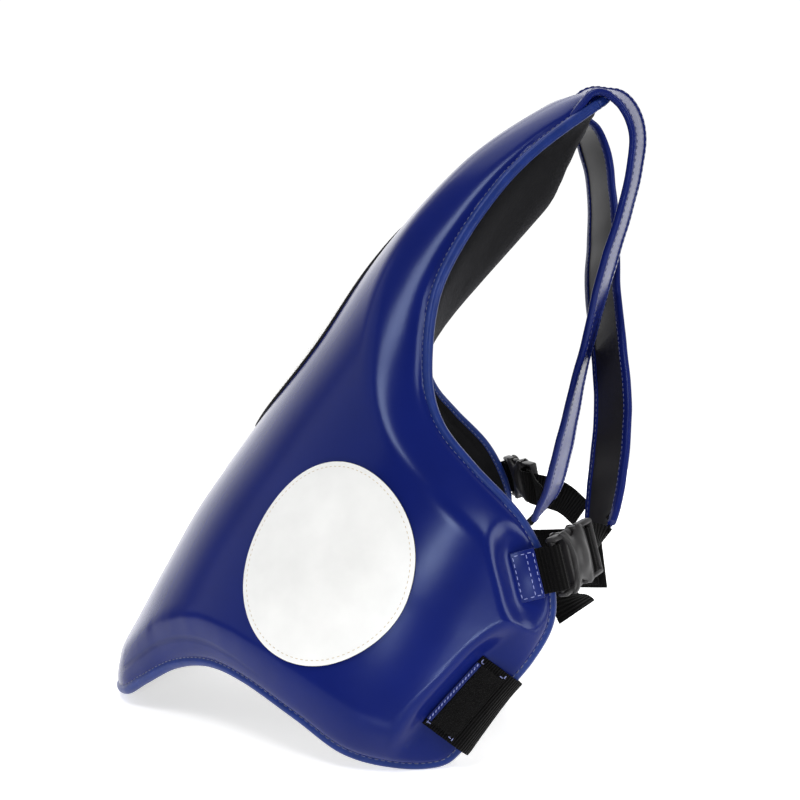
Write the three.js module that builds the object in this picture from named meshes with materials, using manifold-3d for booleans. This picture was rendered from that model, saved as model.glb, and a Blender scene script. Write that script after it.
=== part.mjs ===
import * as THREE from 'three';
import Module from 'manifold-3d';

// Trainer body protector: a padded vest standing on its hem, leaning back.
// Millimetres. X is across the body (wearer's left is +X), Y runs to the back, Z is up.

const LEAN = THREE.MathUtils.degToRad(37);
const FLOOR_PRESS = 1.2;
const TIP_BACK = -190;

// Layers at the rim, measured from the middle surface outward.
const FLANGE = 2.4;
const LINING_GAP = 0.7;
const LINING = 1.0;
const RIM_INSET = 5.8;
const FLANGE_WIDTH = 11;
const OUTER_ROUND = 26;
const INNER_START = 11;
const INNER_ROUND = 46;

// Binding channel folded over the rim.
const BIND_WALL = 1.5;
const BIND_REACH = 8;
const BIND_GAP = 1.4;
const BIND_SPLIT = 0.3;

// Leather, webbing and elastic sizes.
const PATCH = { thick: 1.4 };
const STRAP = { width: 36, thick: 4.4 };
const WEB = { width: 25, thick: 1.4 };
const BELT = { width: 47, thick: 2 };
const PILE = { width: 41, thick: 1.6, gap: 0.4 };

// Half of the flat pattern. across is measured round the body from the centre front.
const HEM = [
  { across: 0, along: 0 },
  { across: 46, along: 0 },
  { across: 74, along: 10 },
  { across: 90, along: 28 },
  { across: 111, along: 54 },
  { across: 136, along: 74 },
  { across: 163, along: 85 },
  { across: 201, along: 92 },
  { across: 233, along: 95 },
  { across: 256, along: 104 },
  { across: 274, along: 115 },
  { across: 284, along: 124.5 },
  { across: 287, along: 137 },
];
const EDGE = [
  { across: 287, along: 137 },
  { across: 284, along: 150 },
  { across: 280, along: 170 },
  { across: 279, along: 195 },
  { across: 274, along: 217 },
  { across: 262, along: 233 },
  { across: 243, along: 246 },
  { across: 222, along: 255 },
  { across: 186, along: 261 },
  { across: 160, along: 267 },
  { across: 143, along: 277 },
  { across: 126, along: 296 },
  { across: 104, along: 328 },
  { across: 92, along: 360 },
  { across: 84, along: 390 },
  { across: 77, along: 418 },
  { across: 70, along: 448 },
  { across: 64, along: 470 },
];
const NECK = [
  { across: 64, along: 470 },
  { across: 60, along: 477 },
  { across: 51, along: 480 },
  { across: 36, along: 476 },
  { across: 18, along: 470 },
  { across: 0, along: 467 },
];
const SIDE_TOP = { across: 260, along: 235 };

// How each level bends: front is the set-back of the centre, then a flat stretch and a round one.
const BEND = [
  { along: 0, front: 0, flat: 30, radius: 144 },
  { along: 90, front: -4, flat: 29, radius: 144 },
  { along: 130, front: -6, flat: 28, radius: 140 },
  { along: 185, front: -6, flat: 27, radius: 131 },
  { along: 255, front: -6, flat: 28, radius: 122 },
  { along: 330, front: -6, flat: 42, radius: 119 },
  { along: 390, front: -3, flat: 45, radius: 119 },
  { along: 430, front: 5, flat: 45, radius: 119 },
  { along: 490, front: 26, flat: 41, radius: 119 },
];

// Padding on the leather side and on the lining side, by level.
const PAD = [
  { along: 0, outer: 17, inner: 16 },
  { along: 60, outer: 19, inner: 20 },
  { along: 130, outer: 21, inner: 24 },
  { along: 255, outer: 23, inner: 30 },
  { along: 330, outer: 24, inner: 36 },
  { along: 390, outer: 20, inner: 41 },
  { along: 430, outer: 17, inner: 38 },
  { along: 480, outer: 13, inner: 22 },
];
// The padding thins toward the flanks.
const FLANK = [
  { across: 0, outer: 1, inner: 1 },
  { across: 120, outer: 1, inner: 0.85 },
  { across: 200, outer: 0.95, inner: 0.45 },
  { across: 290, outer: 0.85, inner: 0.35 },
];
// Places on the flank where the tabs are sewn down and the padding stops.
const SEWN = [
  { across: 262, along: 159, half: 24, tall: 28 },
  { across: 244, along: 227, half: 19, tall: 19 },
];

// Grid over the body: distances of its rows from the rim, and its columns from the centre out.
const GRADES = [RIM_INSET, FLANGE_WIDTH, 17, 25, 38];
const SIDE_GRADES = [10.5, 17, 24, 33, 46];
const COLUMN_COUNT = 14;
const TIP_COLUMN = 3;
const MIDDLE_ROWS = 5;

// Patches: centre on the pattern, half width, half height and turn in degrees on the leather,
// and the gap under the patch.
const LEFT_PATCH = { across: 165.5, along: 169, half: 48, tall: 57, turn: 36, gap: 1.4 };
const RIGHT_PATCH = { ...LEFT_PATCH, across: -LEFT_PATCH.across, turn: -LEFT_PATCH.turn };
const FRONT_PATCH = { across: 0, along: 252, half: 60, tall: 76, turn: 0, gap: 0.8 };

// Buckle place: a point on the pattern, its heading over the rim and how far it folds inward.
const BUCKLE_AT = { across: 244.5, along: 231.5, heading: 52, bar: 15 };
const BUCKLE_LIFT = { left: 7.9, right: 8.3 };
const BUCKLE_FOLD = { left: 54, right: 66 };

// Shoulder strap paths in the standing pose, before the part is centred.
const STRAP_ROOT = { across: 50, left: 480.6, right: 478.5 };
const LEFT_STRAP = [
  { x: 49, y: 120, z: 374, turn: 0 },
  { x: 49, y: 127, z: 371, turn: 0 },
  { x: 49, y: 132, z: 362, turn: 4 },
  { x: 48, y: 134, z: 346, turn: 8 },
  { x: 43, y: 132, z: 320, turn: 10 },
  { x: 31, y: 126, z: 287, turn: 10 },
  { x: 10, y: 116, z: 233, turn: 10 },
  { x: -12, y: 106, z: 177, turn: 8 },
  { x: -30, y: 99, z: 134, turn: 4 },
  { x: -49, y: 95, z: 108, turn: 0 },
  { x: -72, y: 96, z: 97, turn: 0 },
];
const RIGHT_STRAP = [
  { x: -50, y: 120, z: 373, turn: 0 },
  { x: -52, y: 126, z: 367, turn: 0 },
  { x: -54, y: 129, z: 351, turn: -12 },
  { x: -52, y: 131, z: 325, turn: -24 },
  { x: -42, y: 131, z: 288, turn: -30 },
  { x: -18, y: 129, z: 238, turn: -30 },
  { x: 5, y: 129, z: 205, turn: -28 },
  { x: 30, y: 128, z: 178, turn: -24 },
  { x: 58, y: 122, z: 150, turn: -18 },
  { x: 76, y: 119, z: 134, turn: -10 },
  { x: 90, y: 115, z: 121, turn: -4 },
];

// Waist belt behind the right flank, out to its free end.
const BELT_FREE = [
  { x: -161, y: 78, z: 36 },
  { x: -153, y: 102, z: 38 },
  { x: -142, y: 126, z: 41 },
  { x: -126, y: 146, z: 45 },
];
const HOOK_SIDE = 1;

const COLOURS = {
  leather: 0x1f2a6b,
  binding: 0x23379a,
  lining: 0x1b1b1d,
  white: 0xf1efe9,
  webbing: 0x161617,
  plastic: 0x232326,
  pile: 0x0e0e0f,
};

/** Smooth value of a table's column, looked up by its key column. */
function look(table, key, column, at) {
  const last = table.length - 1;
  if (at <= table[0][key]) return table[0][column];
  if (at >= table[last][key]) return table[last][column];
  let i = 0;
  while (at > table[i + 1][key]) i += 1;
  const rowAt = (k) => table[Math.min(Math.max(k, 0), last)];
  const slope = (k) => {
    const run = rowAt(k + 1)[key] - rowAt(k - 1)[key];
    return (rowAt(k + 1)[column] - rowAt(k - 1)[column]) / run;
  };
  const step = table[i + 1][key] - table[i][key];
  const t = (at - table[i][key]) / step;
  const start = table[i][column] * (1 + 2 * t) * (1 - t) ** 2 + slope(i) * step * t * (1 - t) ** 2;
  const end = table[i + 1][column] * t * t * (3 - 2 * t) + slope(i + 1) * step * t * t * (t - 1);
  return start + end;
}

/** Evenly spaced points of a smooth curve through a pattern table. */
function patternCurve(table, count) {
  const knots = table.map((row) => new THREE.Vector3(row.across, row.along, 0));
  return new THREE.CatmullRomCurve3(knots, false, 'centripetal').getSpacedPoints(count);
}

/** Point at a fraction of a polyline's length. */
function pointOn(points, fraction) {
  let total = 0;
  const lengths = [0];
  for (let i = 1; i < points.length; i += 1) {
    total += points[i].distanceTo(points[i - 1]);
    lengths.push(total);
  }
  const want = Math.min(Math.max(fraction, 0), 1) * total;
  let i = 1;
  while (i < points.length - 1 && lengths[i] < want) i += 1;
  const share = (want - lengths[i - 1]) / (lengths[i] - lengths[i - 1]);
  return points[i - 1].clone().lerp(points[i], share);
}

/** Length of a polyline. */
function lengthOf(points) {
  return points.reduce((sum, p, i) => sum + (i ? p.distanceTo(points[i - 1]) : 0), 0);
}

/** Distance from a pattern point to a polyline. */
function distanceTo(points, across, along) {
  let best = Infinity;
  for (let i = 1; i < points.length; i += 1) {
    const a = points[i - 1];
    const b = points[i];
    const dx = b.x - a.x;
    const dy = b.y - a.y;
    const t = ((across - a.x) * dx + (along - a.y) * dy) / (dx * dx + dy * dy);
    const c = Math.min(Math.max(t, 0), 1);
    best = Math.min(best, Math.hypot(across - a.x - c * dx, along - a.y - c * dy));
  }
  return best;
}

const hem = patternCurve(HEM, 90);
const edge = patternCurve(EDGE, 130);
const neck = patternCurve(NECK, 30);
const sideTop = new THREE.Vector3(SIDE_TOP.across, SIDE_TOP.along, 0);
const fromSideTop = edge.map((p) => p.distanceTo(sideTop));
const sideEnd = fromSideTop.indexOf(Math.min(...fromSideTop));
const side = edge.slice(0, sideEnd + 1);
const top = [...neck].reverse().concat(edge.slice(sideEnd).reverse().slice(1));

// Which fraction of the top edge stands over a fraction of the hem.
const hemLength = lengthOf(hem);
const firstShare = 1 - SIDE_GRADES[SIDE_GRADES.length - 1] / hemLength;
const COLUMNS = [
  { hem: 0, top: 0 },
  { hem: (firstShare * TIP_COLUMN) / COLUMN_COUNT, top: lengthOf(neck) / lengthOf(top) },
  { hem: 0.3, top: 0.39 },
  { hem: 0.4, top: 0.58 },
  { hem: 0.54, top: 0.76 },
  { hem: 0.72, top: 0.88 },
  { hem: 1, top: 1 },
];

/** Distance from a pattern point to the nearest rim. */
function rimDistance(across, along) {
  const a = Math.abs(across);
  return Math.min(distanceTo(hem, a, along), distanceTo(edge, a, along), distanceTo(neck, a, along));
}

/** Rounded rise of padding: 0 at the start, 1 after the rounding. */
function rise(distance, start, round) {
  const t = Math.min(Math.max((distance - start) / round, 0), 1);
  return Math.sqrt(1 - (1 - t) ** 2) * 0.65 + t * t * (3 - 2 * t) * 0.35;
}

/** Distance from the sewn-down places, counted so that padding starts beside them. */
function sewnDistance(across, along) {
  let best = Infinity;
  for (const place of SEWN) {
    const dx = Math.max(Math.abs(Math.abs(across) - place.across) - place.half, 0);
    const dy = Math.max(Math.abs(along - place.along) - place.tall, 0);
    best = Math.min(best, Math.hypot(dx, dy));
  }
  return best;
}

/** Padding heights over the middle surface at a pattern point. */
function padAt(across, along) {
  const rim = rimDistance(across, along);
  const sewn = sewnDistance(across, along) + FLANGE_WIDTH;
  const a = Math.abs(across);
  const outerFull = look(PAD, 'along', 'outer', along) * look(FLANK, 'across', 'outer', a);
  const innerFull = look(PAD, 'along', 'inner', along) * look(FLANK, 'across', 'inner', a);
  return {
    outer: outerFull * rise(Math.min(rim, sewn), FLANGE_WIDTH, OUTER_ROUND),
    inner: innerFull * rise(rim, INNER_START, INNER_ROUND),
  };
}

/** Middle surface point in the leaning pose. */
function middle(across, along) {
  const flat = look(BEND, 'along', 'flat', along);
  const radius = look(BEND, 'along', 'radius', along);
  const round = Math.min(Math.max((Math.abs(across) - flat) / radius, 0), Math.PI / 2);
  const straight = Math.max(Math.abs(across) - flat - radius * Math.PI / 2, 0);
  const sideways = Math.min(Math.abs(across), flat) + radius * Math.sin(round);
  const back = look(BEND, 'along', 'front', along) + radius * (1 - Math.cos(round)) + straight;
  return new THREE.Vector3(
    Math.sign(across) * sideways,
    TIP_BACK + back * Math.cos(LEAN) + along * Math.sin(LEAN),
    along * Math.cos(LEAN) - back * Math.sin(LEAN),
  );
}

/** Outward normal of the middle surface. */
function normalAt(across, along) {
  const step = 0.5;
  const du = middle(across + step, along).sub(middle(across - step, along));
  const dv = middle(across, along + step).sub(middle(across, along - step));
  return du.cross(dv).normalize();
}

/** Middle surface point moved outward. */
function lifted(across, along, height) {
  return middle(across, along).addScaledVector(normalAt(across, along), height);
}

/** Pattern point of a column and a share of the way up it. */
function columnPoint(share, up) {
  const right = Math.abs(share);
  const low = pointOn(hem, right);
  const high = pointOn(top, look(COLUMNS, 'hem', 'top', right));
  const flank = pointOn(side, up);
  const straight = side[0].clone().lerp(side[side.length - 1], up);
  const p = low.lerp(high, up).addScaledVector(flank.sub(straight), right);
  p.x *= Math.sign(share) || 1;
  return p;
}

/** Share of the way up a column where the distance to an edge reaches a value. */
function shareAt(share, points, distance, fromTop) {
  let low = 0;
  let high = 0.5;
  for (let i = 0; i < 24; i += 1) {
    const half = (low + high) / 2;
    const p = columnPoint(share, fromTop ? 1 - half : half);
    if (distanceTo(points, Math.abs(p.x), p.y) < distance) low = half;
    else high = half;
  }
  return fromTop ? 1 - high : high;
}

/** Columns over the whole body: each has its share of the hem and its shares of the way up. */
function bodyColumns() {
  const shares = SIDE_GRADES.map((d) => 1 - d / hemLength).reverse();
  const inside = [];
  for (let i = 0; i < COLUMN_COUNT; i += 1) inside.push((firstShare * i) / COLUMN_COUNT);
  const half = [...inside, ...shares];
  const all = [...half.slice(1).map((s) => -s).reverse(), ...half];
  return all.map((share) => {
    const low = GRADES.map((d) => shareAt(share, hem, d, false));
    const high = GRADES.map((d) => shareAt(share, top, d, true)).reverse();
    const start = low[low.length - 1];
    const gap = high[0] - start;
    const between = [];
    for (let i = 1; i < MIDDLE_ROWS; i += 1) between.push(start + (gap * i) / MIDDLE_ROWS);
    return { share, ups: [...low, ...between, ...high] };
  });
}

const parts = [];

/** Adds a named solid to the part. */
function add(name, geometry, colour, roughness = 0.6) {
  const material = new THREE.MeshStandardMaterial({ color: colour, roughness });
  material.name = name;
  const mesh = new THREE.Mesh(geometry, material);
  mesh.name = name;
  parts.push(mesh);
  return mesh;
}

/** Indexed geometry from points and triangles. */
function solid(points, triangles) {
  const geometry = new THREE.BufferGeometry();
  const numbers = points.flatMap((p) => [p.x, p.y, p.z]);
  geometry.setAttribute('position', new THREE.Float32BufferAttribute(numbers, 3));
  geometry.setIndex(triangles.flat());
  geometry.computeVertexNormals();
  return geometry;
}

/** Closed slab between two grids of points of the same shape, the first one outward. */
function slab(outer, inner) {
  const columns = outer.length;
  const rows = outer[0].length;
  const points = [...outer.flat(), ...inner.flat()];
  const at = (c, r, face) => face * columns * rows + c * rows + r;
  const triangles = [];
  for (let c = 0; c < columns - 1; c += 1) {
    for (let r = 0; r < rows - 1; r += 1) {
      for (const face of [0, 1]) {
        const q = [at(c, r, face), at(c + 1, r, face), at(c + 1, r + 1, face), at(c, r + 1, face)];
        const right = c < (columns - 1) / 2;
        const rising = [[q[0], q[1], q[2]], [q[0], q[2], q[3]]];
        const falling = [[q[0], q[1], q[3]], [q[1], q[2], q[3]]];
        triangles.push(...(right ? falling : rising).map((t) => (face ? t.reverse() : t)));
      }
    }
  }
  const loop = [];
  for (let c = 0; c < columns - 1; c += 1) loop.push([c, 0]);
  for (let r = 0; r < rows - 1; r += 1) loop.push([columns - 1, r]);
  for (let c = columns - 1; c > 0; c -= 1) loop.push([c, rows - 1]);
  for (let r = rows - 1; r > 0; r -= 1) loop.push([0, r]);
  loop.forEach(([c, r], i) => {
    const [nc, nr] = loop[(i + 1) % loop.length];
    const q = [at(c, r, 1), at(nc, nr, 1), at(nc, nr, 0), at(c, r, 0)];
    triangles.push([q[0], q[1], q[2]], [q[0], q[2], q[3]]);
  });
  return solid(points, triangles);
}

/** Closed bar through a list of rings, each ring running round the way of travel. */
function bar(rings, flip = false) {
  const n = rings[0].length;
  const points = rings.flat();
  const triangles = [];
  for (let i = 0; i < rings.length - 1; i += 1) {
    for (let k = 0; k < n; k += 1) {
      const a = i * n + k;
      const b = i * n + ((k + 1) % n);
      if (flip) triangles.push([a, b, a + n], [b, b + n, a + n]);
      else triangles.push([a, b, b + n], [a, b + n, a + n]);
    }
  }
  const caps = capTriangles(rings[0]);
  const last = (rings.length - 1) * n;
  for (const [a, b, c] of caps) {
    triangles.push([a, c, b], [last + a, last + b, last + c]);
  }
  return solid(points, triangles);
}

/** Triangles over a planar ring of points, wound with the ring. */
function capTriangles(ring) {
  const centre = ring.reduce((sum, p) => sum.add(p), new THREE.Vector3()).divideScalar(ring.length);
  const normal = new THREE.Vector3();
  ring.forEach((p, i) => {
    const q = ring[(i + 1) % ring.length];
    normal.add(p.clone().sub(centre).cross(q.clone().sub(centre)));
  });
  normal.normalize();
  const u = ring[0].clone().sub(centre).projectOnPlane(normal).normalize();
  const v = normal.clone().cross(u);
  const flat = ring.map((p) => {
    const d = p.clone().sub(centre);
    return new THREE.Vector2(d.dot(u), d.dot(v));
  });
  return THREE.ShapeUtils.triangulateShape(flat, []);
}

// Padded body and lining
const columns = bodyColumns();
const grid = columns.map(({ share, ups }) => ups.map((up) => columnPoint(share, up)));
const surface = (height) => grid.map((column) => (
  column.map((p) => lifted(p.x, p.y, height(padAt(p.x, p.y))))
));
const bodyOuter = surface((pad) => FLANGE + pad.outer);
const bodyInner = surface((pad) => -pad.inner);
add('padded_body', slab(bodyOuter, bodyInner), COLOURS.leather, 0.35);
const liningOuter = surface((pad) => -pad.inner - LINING_GAP);
const liningInner = surface((pad) => -pad.inner - LINING_GAP - LINING);
add('lining', slab(liningOuter, liningInner), COLOURS.lining, 0.9);

// Bound rims
const BIND_TOP = FLANGE + BIND_GAP;
const BIND_LOW = -LINING_GAP - LINING - 1.4 * BIND_GAP;
const BIND_SECTION = [
  { out: -BIND_REACH, up: BIND_TOP },
  { out: -BIND_WALL, up: BIND_TOP },
  { out: -BIND_WALL, up: BIND_LOW },
  { out: -BIND_REACH, up: BIND_LOW },
  { out: -BIND_REACH, up: BIND_LOW - BIND_WALL },
  { out: -BIND_WALL, up: BIND_LOW - BIND_WALL },
  { out: 0, up: BIND_LOW },
  { out: 0, up: BIND_TOP },
  { out: -BIND_WALL, up: BIND_TOP + BIND_WALL },
  { out: -BIND_REACH, up: BIND_TOP + BIND_WALL },
];

// Stations round the whole rim, one for each place where the body's grid meets it.
const leftColumn = columns[columns.length - 1];
const rightColumn = columns[0];
const hemStations = [-1, ...columns.map((c) => c.share), 1].map((share) => columnPoint(share, 0));
const leftStations = leftColumn.ups.map((up) => columnPoint(1, up));
const topStations = [1, ...columns.map((c) => c.share).reverse(), -1].map((share) => columnPoint(share, 1));
const rightStations = [...rightColumn.ups].reverse().map((up) => columnPoint(-1, up));
const rim = [...hemStations, ...leftStations, ...topStations, ...rightStations];
const rimAt = (i) => rim[(i + rim.length) % rim.length];

/** Channel section at a station, moved along the rim by a small slide. */
function bindRing(i, slide) {
  const p = rimAt(i);
  const before = p.clone().sub(rimAt(i - 1)).normalize();
  const after = rimAt(i + 1).clone().sub(p).normalize();
  const tangent = before.clone().add(after).normalize();
  const mitre = 1 / Math.max(tangent.dot(after), 0.7);
  const here = middle(p.x + tangent.x * slide, p.y + tangent.y * slide);
  const outward = middle(p.x + tangent.y, p.y - tangent.x).sub(middle(p.x, p.y)).normalize();
  const up = normalAt(p.x, p.y);
  const place = (s) => here.clone().addScaledVector(outward, s.out * mitre).addScaledVector(up, s.up);
  return BIND_SECTION.map(place).reverse();
}

/** Channel along the rim between two stations. */
function binding(from, to, flip = false) {
  const rings = [bindRing(from, BIND_SPLIT)];
  for (let i = from + 1; i < to; i += 1) rings.push(bindRing(i, 0));
  rings.push(bindRing(to, -BIND_SPLIT));
  return bar(rings, flip);
}

const topStart = hemStations.length + leftStations.length;
const centreColumn = (columns.length - 1) / 2;
const leftTip = topStart + 1 + centreColumn - TIP_COLUMN;
const rightTip = topStart + 1 + centreColumn + TIP_COLUMN;
const leftCorner = hemStations.length - 1;
add('hem_binding', binding(0, leftCorner), COLOURS.binding, 0.4);
add('left_edge_binding', binding(leftCorner, leftTip), COLOURS.binding, 0.4);
add('right_edge_binding', binding(rightTip, rim.length, true), COLOURS.binding, 0.4);
add('neck_binding', binding(leftTip, rightTip), COLOURS.binding, 0.4);

/** Oval patch that follows the leather. */
function patch(at, rings, spokes) {
  const under = (a, v) => lifted(a, v, FLANGE + padAt(a, v).outer + at.gap);
  const over = (a, v) => lifted(a, v, FLANGE + padAt(a, v).outer + at.gap + PATCH.thick);
  const turn = THREE.MathUtils.degToRad(at.turn);
  const points = [];
  const triangles = [];
  // The leather outside a bend is longer than the pattern under it.
  const spread = 1 + padAt(at.across, at.along).outer / look(BEND, 'along', 'radius', at.along);
  for (const face of [over, under]) {
    points.push(face(at.across, at.along));
    for (let r = 1; r <= rings; r += 1) {
      for (let k = 0; k < spokes; k += 1) {
        const spoke = (2 * Math.PI * k) / spokes;
        const wide = at.half * (r / rings) * Math.cos(spoke);
        const high = at.tall * (r / rings) * Math.sin(spoke);
        const sideways = wide * Math.cos(turn) - high * Math.sin(turn);
        const upward = wide * Math.sin(turn) + high * Math.cos(turn);
        points.push(face(at.across + sideways / spread, at.along + upward));
      }
    }
  }
  const half = 1 + rings * spokes;
  const ringAt = (face, r, k) => face * half + 1 + (r - 1) * spokes + (k % spokes);
  for (let k = 0; k < spokes; k += 1) {
    triangles.push([0, ringAt(0, 1, k), ringAt(0, 1, k + 1)]);
    triangles.push([half, ringAt(1, 1, k + 1), ringAt(1, 1, k)]);
    for (let r = 1; r < rings; r += 1) {
      const q = [ringAt(0, r, k), ringAt(0, r + 1, k), ringAt(0, r + 1, k + 1), ringAt(0, r, k + 1)];
      const w = [ringAt(1, r, k), ringAt(1, r, k + 1), ringAt(1, r + 1, k + 1), ringAt(1, r + 1, k)];
      triangles.push([q[0], q[1], q[2]], [q[0], q[2], q[3]]);
      triangles.push([w[0], w[1], w[2]], [w[0], w[2], w[3]]);
    }
    const near = [ringAt(0, rings, k), ringAt(1, rings, k)];
    const next = [ringAt(0, rings, k + 1), ringAt(1, rings, k + 1)];
    triangles.push([near[0], near[1], next[1]], [near[0], next[1], next[0]]);
  }
  return solid(points, triangles);
}

// White patches
add('left_patch', patch(LEFT_PATCH, 4, 28), COLOURS.white, 0.5);
add('right_patch', patch(RIGHT_PATCH, 4, 28), COLOURS.white, 0.5);
add('front_patch', patch(FRONT_PATCH, 4, 28), COLOURS.white, 0.5);

/** Band of a flat section along a path, with the way its width points at each stop. */
function band(stops, width, thick) {
  const w = width / 2;
  const t = thick / 2;
  const b = thick / 4;
  const square = [[-w, -t], [w, -t], [w, t], [-w, t]];
  const lower = [[-w, b - t], [b - w, -t], [w - b, -t], [w, b - t]];
  const eased = [...lower, ...lower.map(([sideways, up]) => [-sideways, -up])];
  const section = thick > WEB.thick ? eased : square;
  const rings = stops.map(({ at, across, face }) => section.map(([sideways, up]) => (
    at.clone().addScaledVector(across, sideways).addScaledVector(face, up)
  )));
  return bar(rings);
}

/** Stop on a path from its point, its tangent and the way its width points. */
function stopOn(at, tangent, wide) {
  const across = wide.projectOnPlane(tangent).normalize();
  return { at, across, face: tangent.clone().cross(across) };
}

/** Evenly spaced stops along a smooth path; wide gives the way the width points there. */
function pathStops(knots, count, wide) {
  const curve = new THREE.CatmullRomCurve3(knots, false, 'centripetal');
  const shares = Array.from({ length: count + 1 }, (_, i) => i / count);
  return shares.map((f) => {
    const tangent = curve.getTangentAt(f);
    return stopOn(curve.getPointAt(f), tangent, wide(f, tangent));
  });
}

/** Stops with the same number between each two knots, for paths with tight turns. */
function knotStops(knots, each, wide) {
  const curve = new THREE.CatmullRomCurve3(knots, false, 'centripetal');
  const count = (knots.length - 1) * each;
  const shares = Array.from({ length: count + 1 }, (_, i) => i / count);
  return shares.map((f) => stopOn(curve.getPoint(f), curve.getTangent(f), wide(f)));
}

/** Straps: the width lies across the body, turned by the table's angle. */
function strapStops(sign, along, table, count) {
  const root = middle(sign * STRAP_ROOT.across, along);
  const knots = [root, ...table.map((row) => new THREE.Vector3(row.x, row.y, row.z))];
  const turns = table.map((row, i) => ({ f: (i + 1) / table.length, turn: row.turn }));
  return pathStops(knots, count, (f, tangent) => {
    const across = new THREE.Vector3(1, 0, 0).projectOnPlane(tangent).normalize();
    return across.applyAxisAngle(tangent, THREE.MathUtils.degToRad(look(turns, 'f', 'turn', f)));
  });
}

// Shoulder straps
const leftStrap = strapStops(1, STRAP_ROOT.left, LEFT_STRAP, 24);
const rightStrap = strapStops(-1, STRAP_ROOT.right, RIGHT_STRAP, 24);
add('left_shoulder_strap', band(leftStrap, STRAP.width, STRAP.thick), COLOURS.leather, 0.35);
add('right_shoulder_strap', band(rightStrap, STRAP.width, STRAP.thick), COLOURS.leather, 0.35);

/** Frame on a flank: length runs over the rim, width along it, up outward. */
function flankFrame(sign, lift) {
  const { across, along } = BUCKLE_AT;
  const heading = THREE.MathUtils.degToRad(BUCKLE_AT.heading);
  const here = middle(sign * across, along);
  const ahead = middle(sign * (across + Math.cos(heading)), along + Math.sin(heading));
  const up = normalAt(sign * across, along);
  const length = ahead.sub(here).projectOnPlane(up).normalize();
  const width = up.clone().cross(length);
  return new THREE.Matrix4().makeBasis(length, width, up).setPosition(lifted(sign * across, along, lift));
}

/** Frame of a buckle: the flank's frame moved to the loop bar and folded inward. */
function buckleFrame(flank, fold) {
  const moved = new THREE.Matrix4().makeTranslation(BUCKLE_AT.bar, 0, 0);
  const turned = new THREE.Matrix4().makeRotationY(THREE.MathUtils.degToRad(fold));
  return flank.clone().multiply(moved).multiply(turned);
}

const wasm = await Module();
wasm.setup();

/** Manifold body of a geometry. */
function toManifold(geometry) {
  const bare = new THREE.BufferGeometry();
  const loose = geometry.index ? geometry.toNonIndexed() : geometry;
  bare.setAttribute('position', loose.getAttribute('position'));
  const count = bare.getAttribute('position').count;
  const mesh = new wasm.Mesh({
    numProp: 3,
    vertProperties: new Float32Array(bare.getAttribute('position').array),
    triVerts: new Uint32Array(count).map((_, i) => i),
  });
  mesh.merge();
  return new wasm.Manifold(mesh);
}

/** Geometry of a manifold body. */
function fromManifold(body) {
  const mesh = body.getMesh();
  const geometry = new THREE.BufferGeometry();
  geometry.setAttribute('position', new THREE.Float32BufferAttribute(mesh.vertProperties, 3));
  geometry.setIndex([...mesh.triVerts]);
  geometry.computeVertexNormals();
  return geometry;
}

/** Box between two corners, as a manifold body. */
function block(from, to) {
  const size = to.map((v, i) => v - from[i]);
  const geometry = new THREE.BoxGeometry(...size);
  geometry.translate(...from.map((v, i) => v + size[i] / 2));
  return toManifold(geometry);
}

/** Plate with a plan given as half widths along its length, as a manifold body. */
function plate(plan, low, high) {
  const shape = new THREE.Shape();
  plan.forEach(({ at, half }, i) => (i ? shape.lineTo(at, half) : shape.moveTo(at, half)));
  [...plan].reverse().forEach(({ at, half }) => shape.lineTo(at, -half));
  const geometry = new THREE.ExtrudeGeometry(shape, { depth: high - low, bevelEnabled: false });
  geometry.translate(0, 0, low);
  return toManifold(geometry);
}

// Buckle plans along the length, from the loop bar to the webbing end.
const FEMALE_PLAN = [
  { at: -1.6, half: 13.8 },
  { at: 0, half: 15.8 },
  { at: 3, half: 16.8 },
  { at: 12, half: 16.8 },
  { at: 16, half: 15.4 },
  { at: 23, half: 15.4 },
  { at: 27, half: 16.8 },
  { at: 30, half: 16.8 },
];
const MALE_PLAN = [
  { at: 30.5, half: 15.4 },
  { at: 34, half: 16.2 },
  { at: 46, half: 16.2 },
  { at: 48.5, half: 15 },
];
const PRONG_PLAN = [
  { at: 14, half: 3 },
  { at: 17, half: 6.6 },
  { at: 21, half: 6.6 },
  { at: 22, half: 2.4 },
  { at: 32, half: 2.4 },
];
const SLOT_HALF = 13.1;

/** Female half: a hood with a loop bar, a pocket and side windows. */
function femaleBody() {
  const hood = plate(FEMALE_PLAN, -4.2, 4.2);
  const slot = block([2, -SLOT_HALF, -9], [7, SLOT_HALF, 9]);
  const overBar = block([-3, -SLOT_HALF, 1.7], [3, SLOT_HALF, 9]);
  const underBar = block([-3, -SLOT_HALF, -9], [3, SLOT_HALF, -1.7]);
  const pocket = block([10.5, -13, -2.6], [31, 13, 2.6]);
  const windows = block([13, -20, -2.6], [23.5, 20, 2.6]);
  return hood.subtract(slot).subtract(overBar).subtract(underBar).subtract(pocket).subtract(windows);
}

/** Male half: a ladder frame with a tongue between two prongs. */
function maleBody() {
  const base = plate(MALE_PLAN, -3.2, 3.2);
  const slotNear = block([34.5, -SLOT_HALF, -9], [38, SLOT_HALF, 9]);
  const slotFar = block([41, -SLOT_HALF, -9], [46, SLOT_HALF, 9]);
  const overBar = block([37, -SLOT_HALF, 1.5], [42, SLOT_HALF, 9]);
  const underBar = block([37, -SLOT_HALF, -9], [42, SLOT_HALF, -1.5]);
  const tongue = block([13, -3, -2], [31, 3, 2]);
  const leftProng = plate(PRONG_PLAN, -2, 2).translate([0, 9.2, 0]);
  const rightProng = plate(PRONG_PLAN, -2, 2).translate([0, -9.2, 0]);
  const frame = base.subtract(slotNear).subtract(slotFar).subtract(overBar).subtract(underBar);
  return frame.add(tongue).add(leftProng).add(rightProng);
}

/** Knots of a path given in a frame's own length and up directions. */
function knotsIn(frame, path) {
  return path.map(({ at, up }) => new THREE.Vector3(at, 0, up).applyMatrix4(frame));
}

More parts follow.
